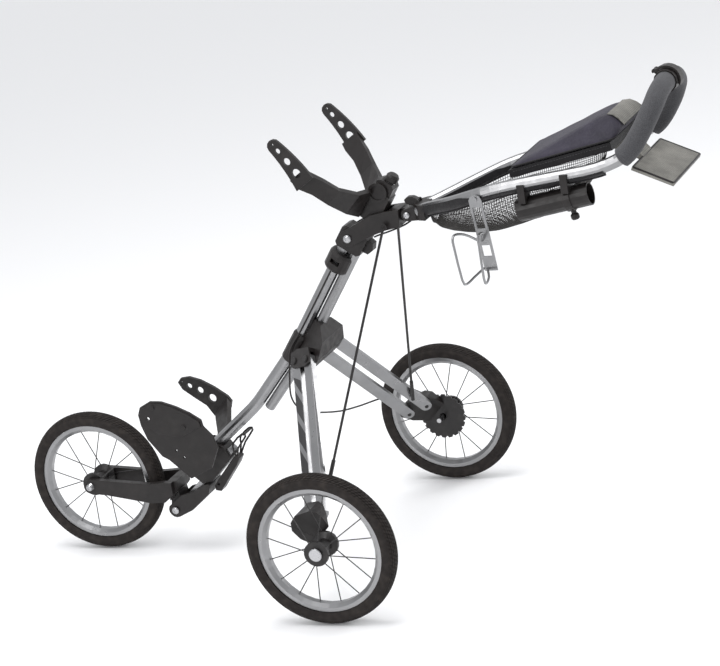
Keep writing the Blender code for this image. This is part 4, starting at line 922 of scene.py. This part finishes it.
# %% Stitching
def stitched_line(name, points, near, length=0.0032, gap=0.0022, radius=0.00042):
    """Short raised threads along a line of points."""
    path = [Vector(p) for p in points]
    shape = bmesh.new()
    travelled, target = 0.0, gap
    for start, stop in zip(path, path[1:]):
        span = (stop - start).length
        while travelled + span > target + length:
            a = start.lerp(stop, max(0.0, (target - travelled) / span))
            b = start.lerp(stop, min(1.0, (target + length - travelled) / span))
            if (b - a).length > 0.0008:
                stitch = tube_along([a, (a + b) / 2, b], radius, 5)
                mesh = bpy.data.meshes.new("stitch")
                stitch.to_mesh(mesh)
                stitch.free()
                shape.from_mesh(mesh)
                bpy.data.meshes.remove(mesh)
            target += length + gap
        travelled += span
    return add_piece(name, shape, THREAD, near)


for side in (1, -1):
    seam = [TRAY_FRONT + SLOPE * a + LIFT * 0.0105 + Vector((side * 0.0992, 0.0, 0.0))
            for a in (0.006, 0.050, 0.100, 0.150, 0.196)]
    print(stitched_line("tray_stitching_" + ("left" if side > 0 else "right"), seam,
                        "console_tray").name)


# %% [markdown]
# ## Fasteners
#
# The bolts come from the solid model as plain heads. A small turned button head with a round
# recess, set on the outer face of each, is what makes them read as bolts.

# %% Fasteners
def turned_disc(centre, outward, profile, sides=24):
    """Rings of (distance, radius) round an axis."""
    first = outward.orthogonal().normalized()
    second = outward.cross(first)
    rings = [[centre + outward * distance + (first * cos(2 * pi * k / sides)
                                             + second * sin(2 * pi * k / sides)) * radius
              for k in range(sides)] for distance, radius in profile]
    return skin(rings)


def button_head(name, centre, outward, radius, near):
    """Dished button head with a round recess."""
    profile = [(0.0, radius), (0.0010, radius), (0.0019, radius * 0.86), (0.0023, radius * 0.62),
               (0.0023, radius * 0.46), (0.0012, radius * 0.44)]
    shape = turned_disc(centre, outward, profile, 30)
    return add_piece(name, shape, METALS["bright_steel"], near, sharp=50.0)


def side_heads(node, inset, radius):
    """A head on each end of a bolt that lies across the cart."""
    low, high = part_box(node)
    middle = (low + high) / 2
    for side, x in ((1, high.x), (-1, low.x)):
        centre = Vector((x - inset * side, middle.y, middle.z))
        button_head(f"{node}_head_{'left' if side > 0 else 'right'}", centre,
                    Vector((side, 0.0, 0.0)), radius, node)


side_heads("fold_bolt", 0.0006, 0.0072)
side_heads("fork_pivot_bolt", 0.0006, 0.0072)
side_heads("axle_front", 0.0004, 0.0062)
side_heads("tilt_pin", 0.0006, 0.0056)


# %% [markdown]
# ## Control cable on the fold arm
#
# A thin cable leaves the handle's hinge and runs under the fold arm towards the clamp. It is
# held all along, so it is simply a tube that rides on the arm.

# %% Control cable
PIN_LOW, PIN_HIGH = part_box("tilt_pin")


def arm_cable():
    hinge = (PIN_LOW + PIN_HIGH) / 2
    drops = [(0.000, -0.0160), (-0.016, -0.0240), (-0.044, -0.0335), (-0.068, -0.0400),
             (-0.080, -0.0440)]
    path = [hinge + Vector((0.0060, back, drop)) for back, drop in drops]
    return add_piece("arm_cable", tube_along(rounded(path), 0.0017, 10),
                     MOULDED["black_plastic"], "fold_arm")


print(arm_cable().name)
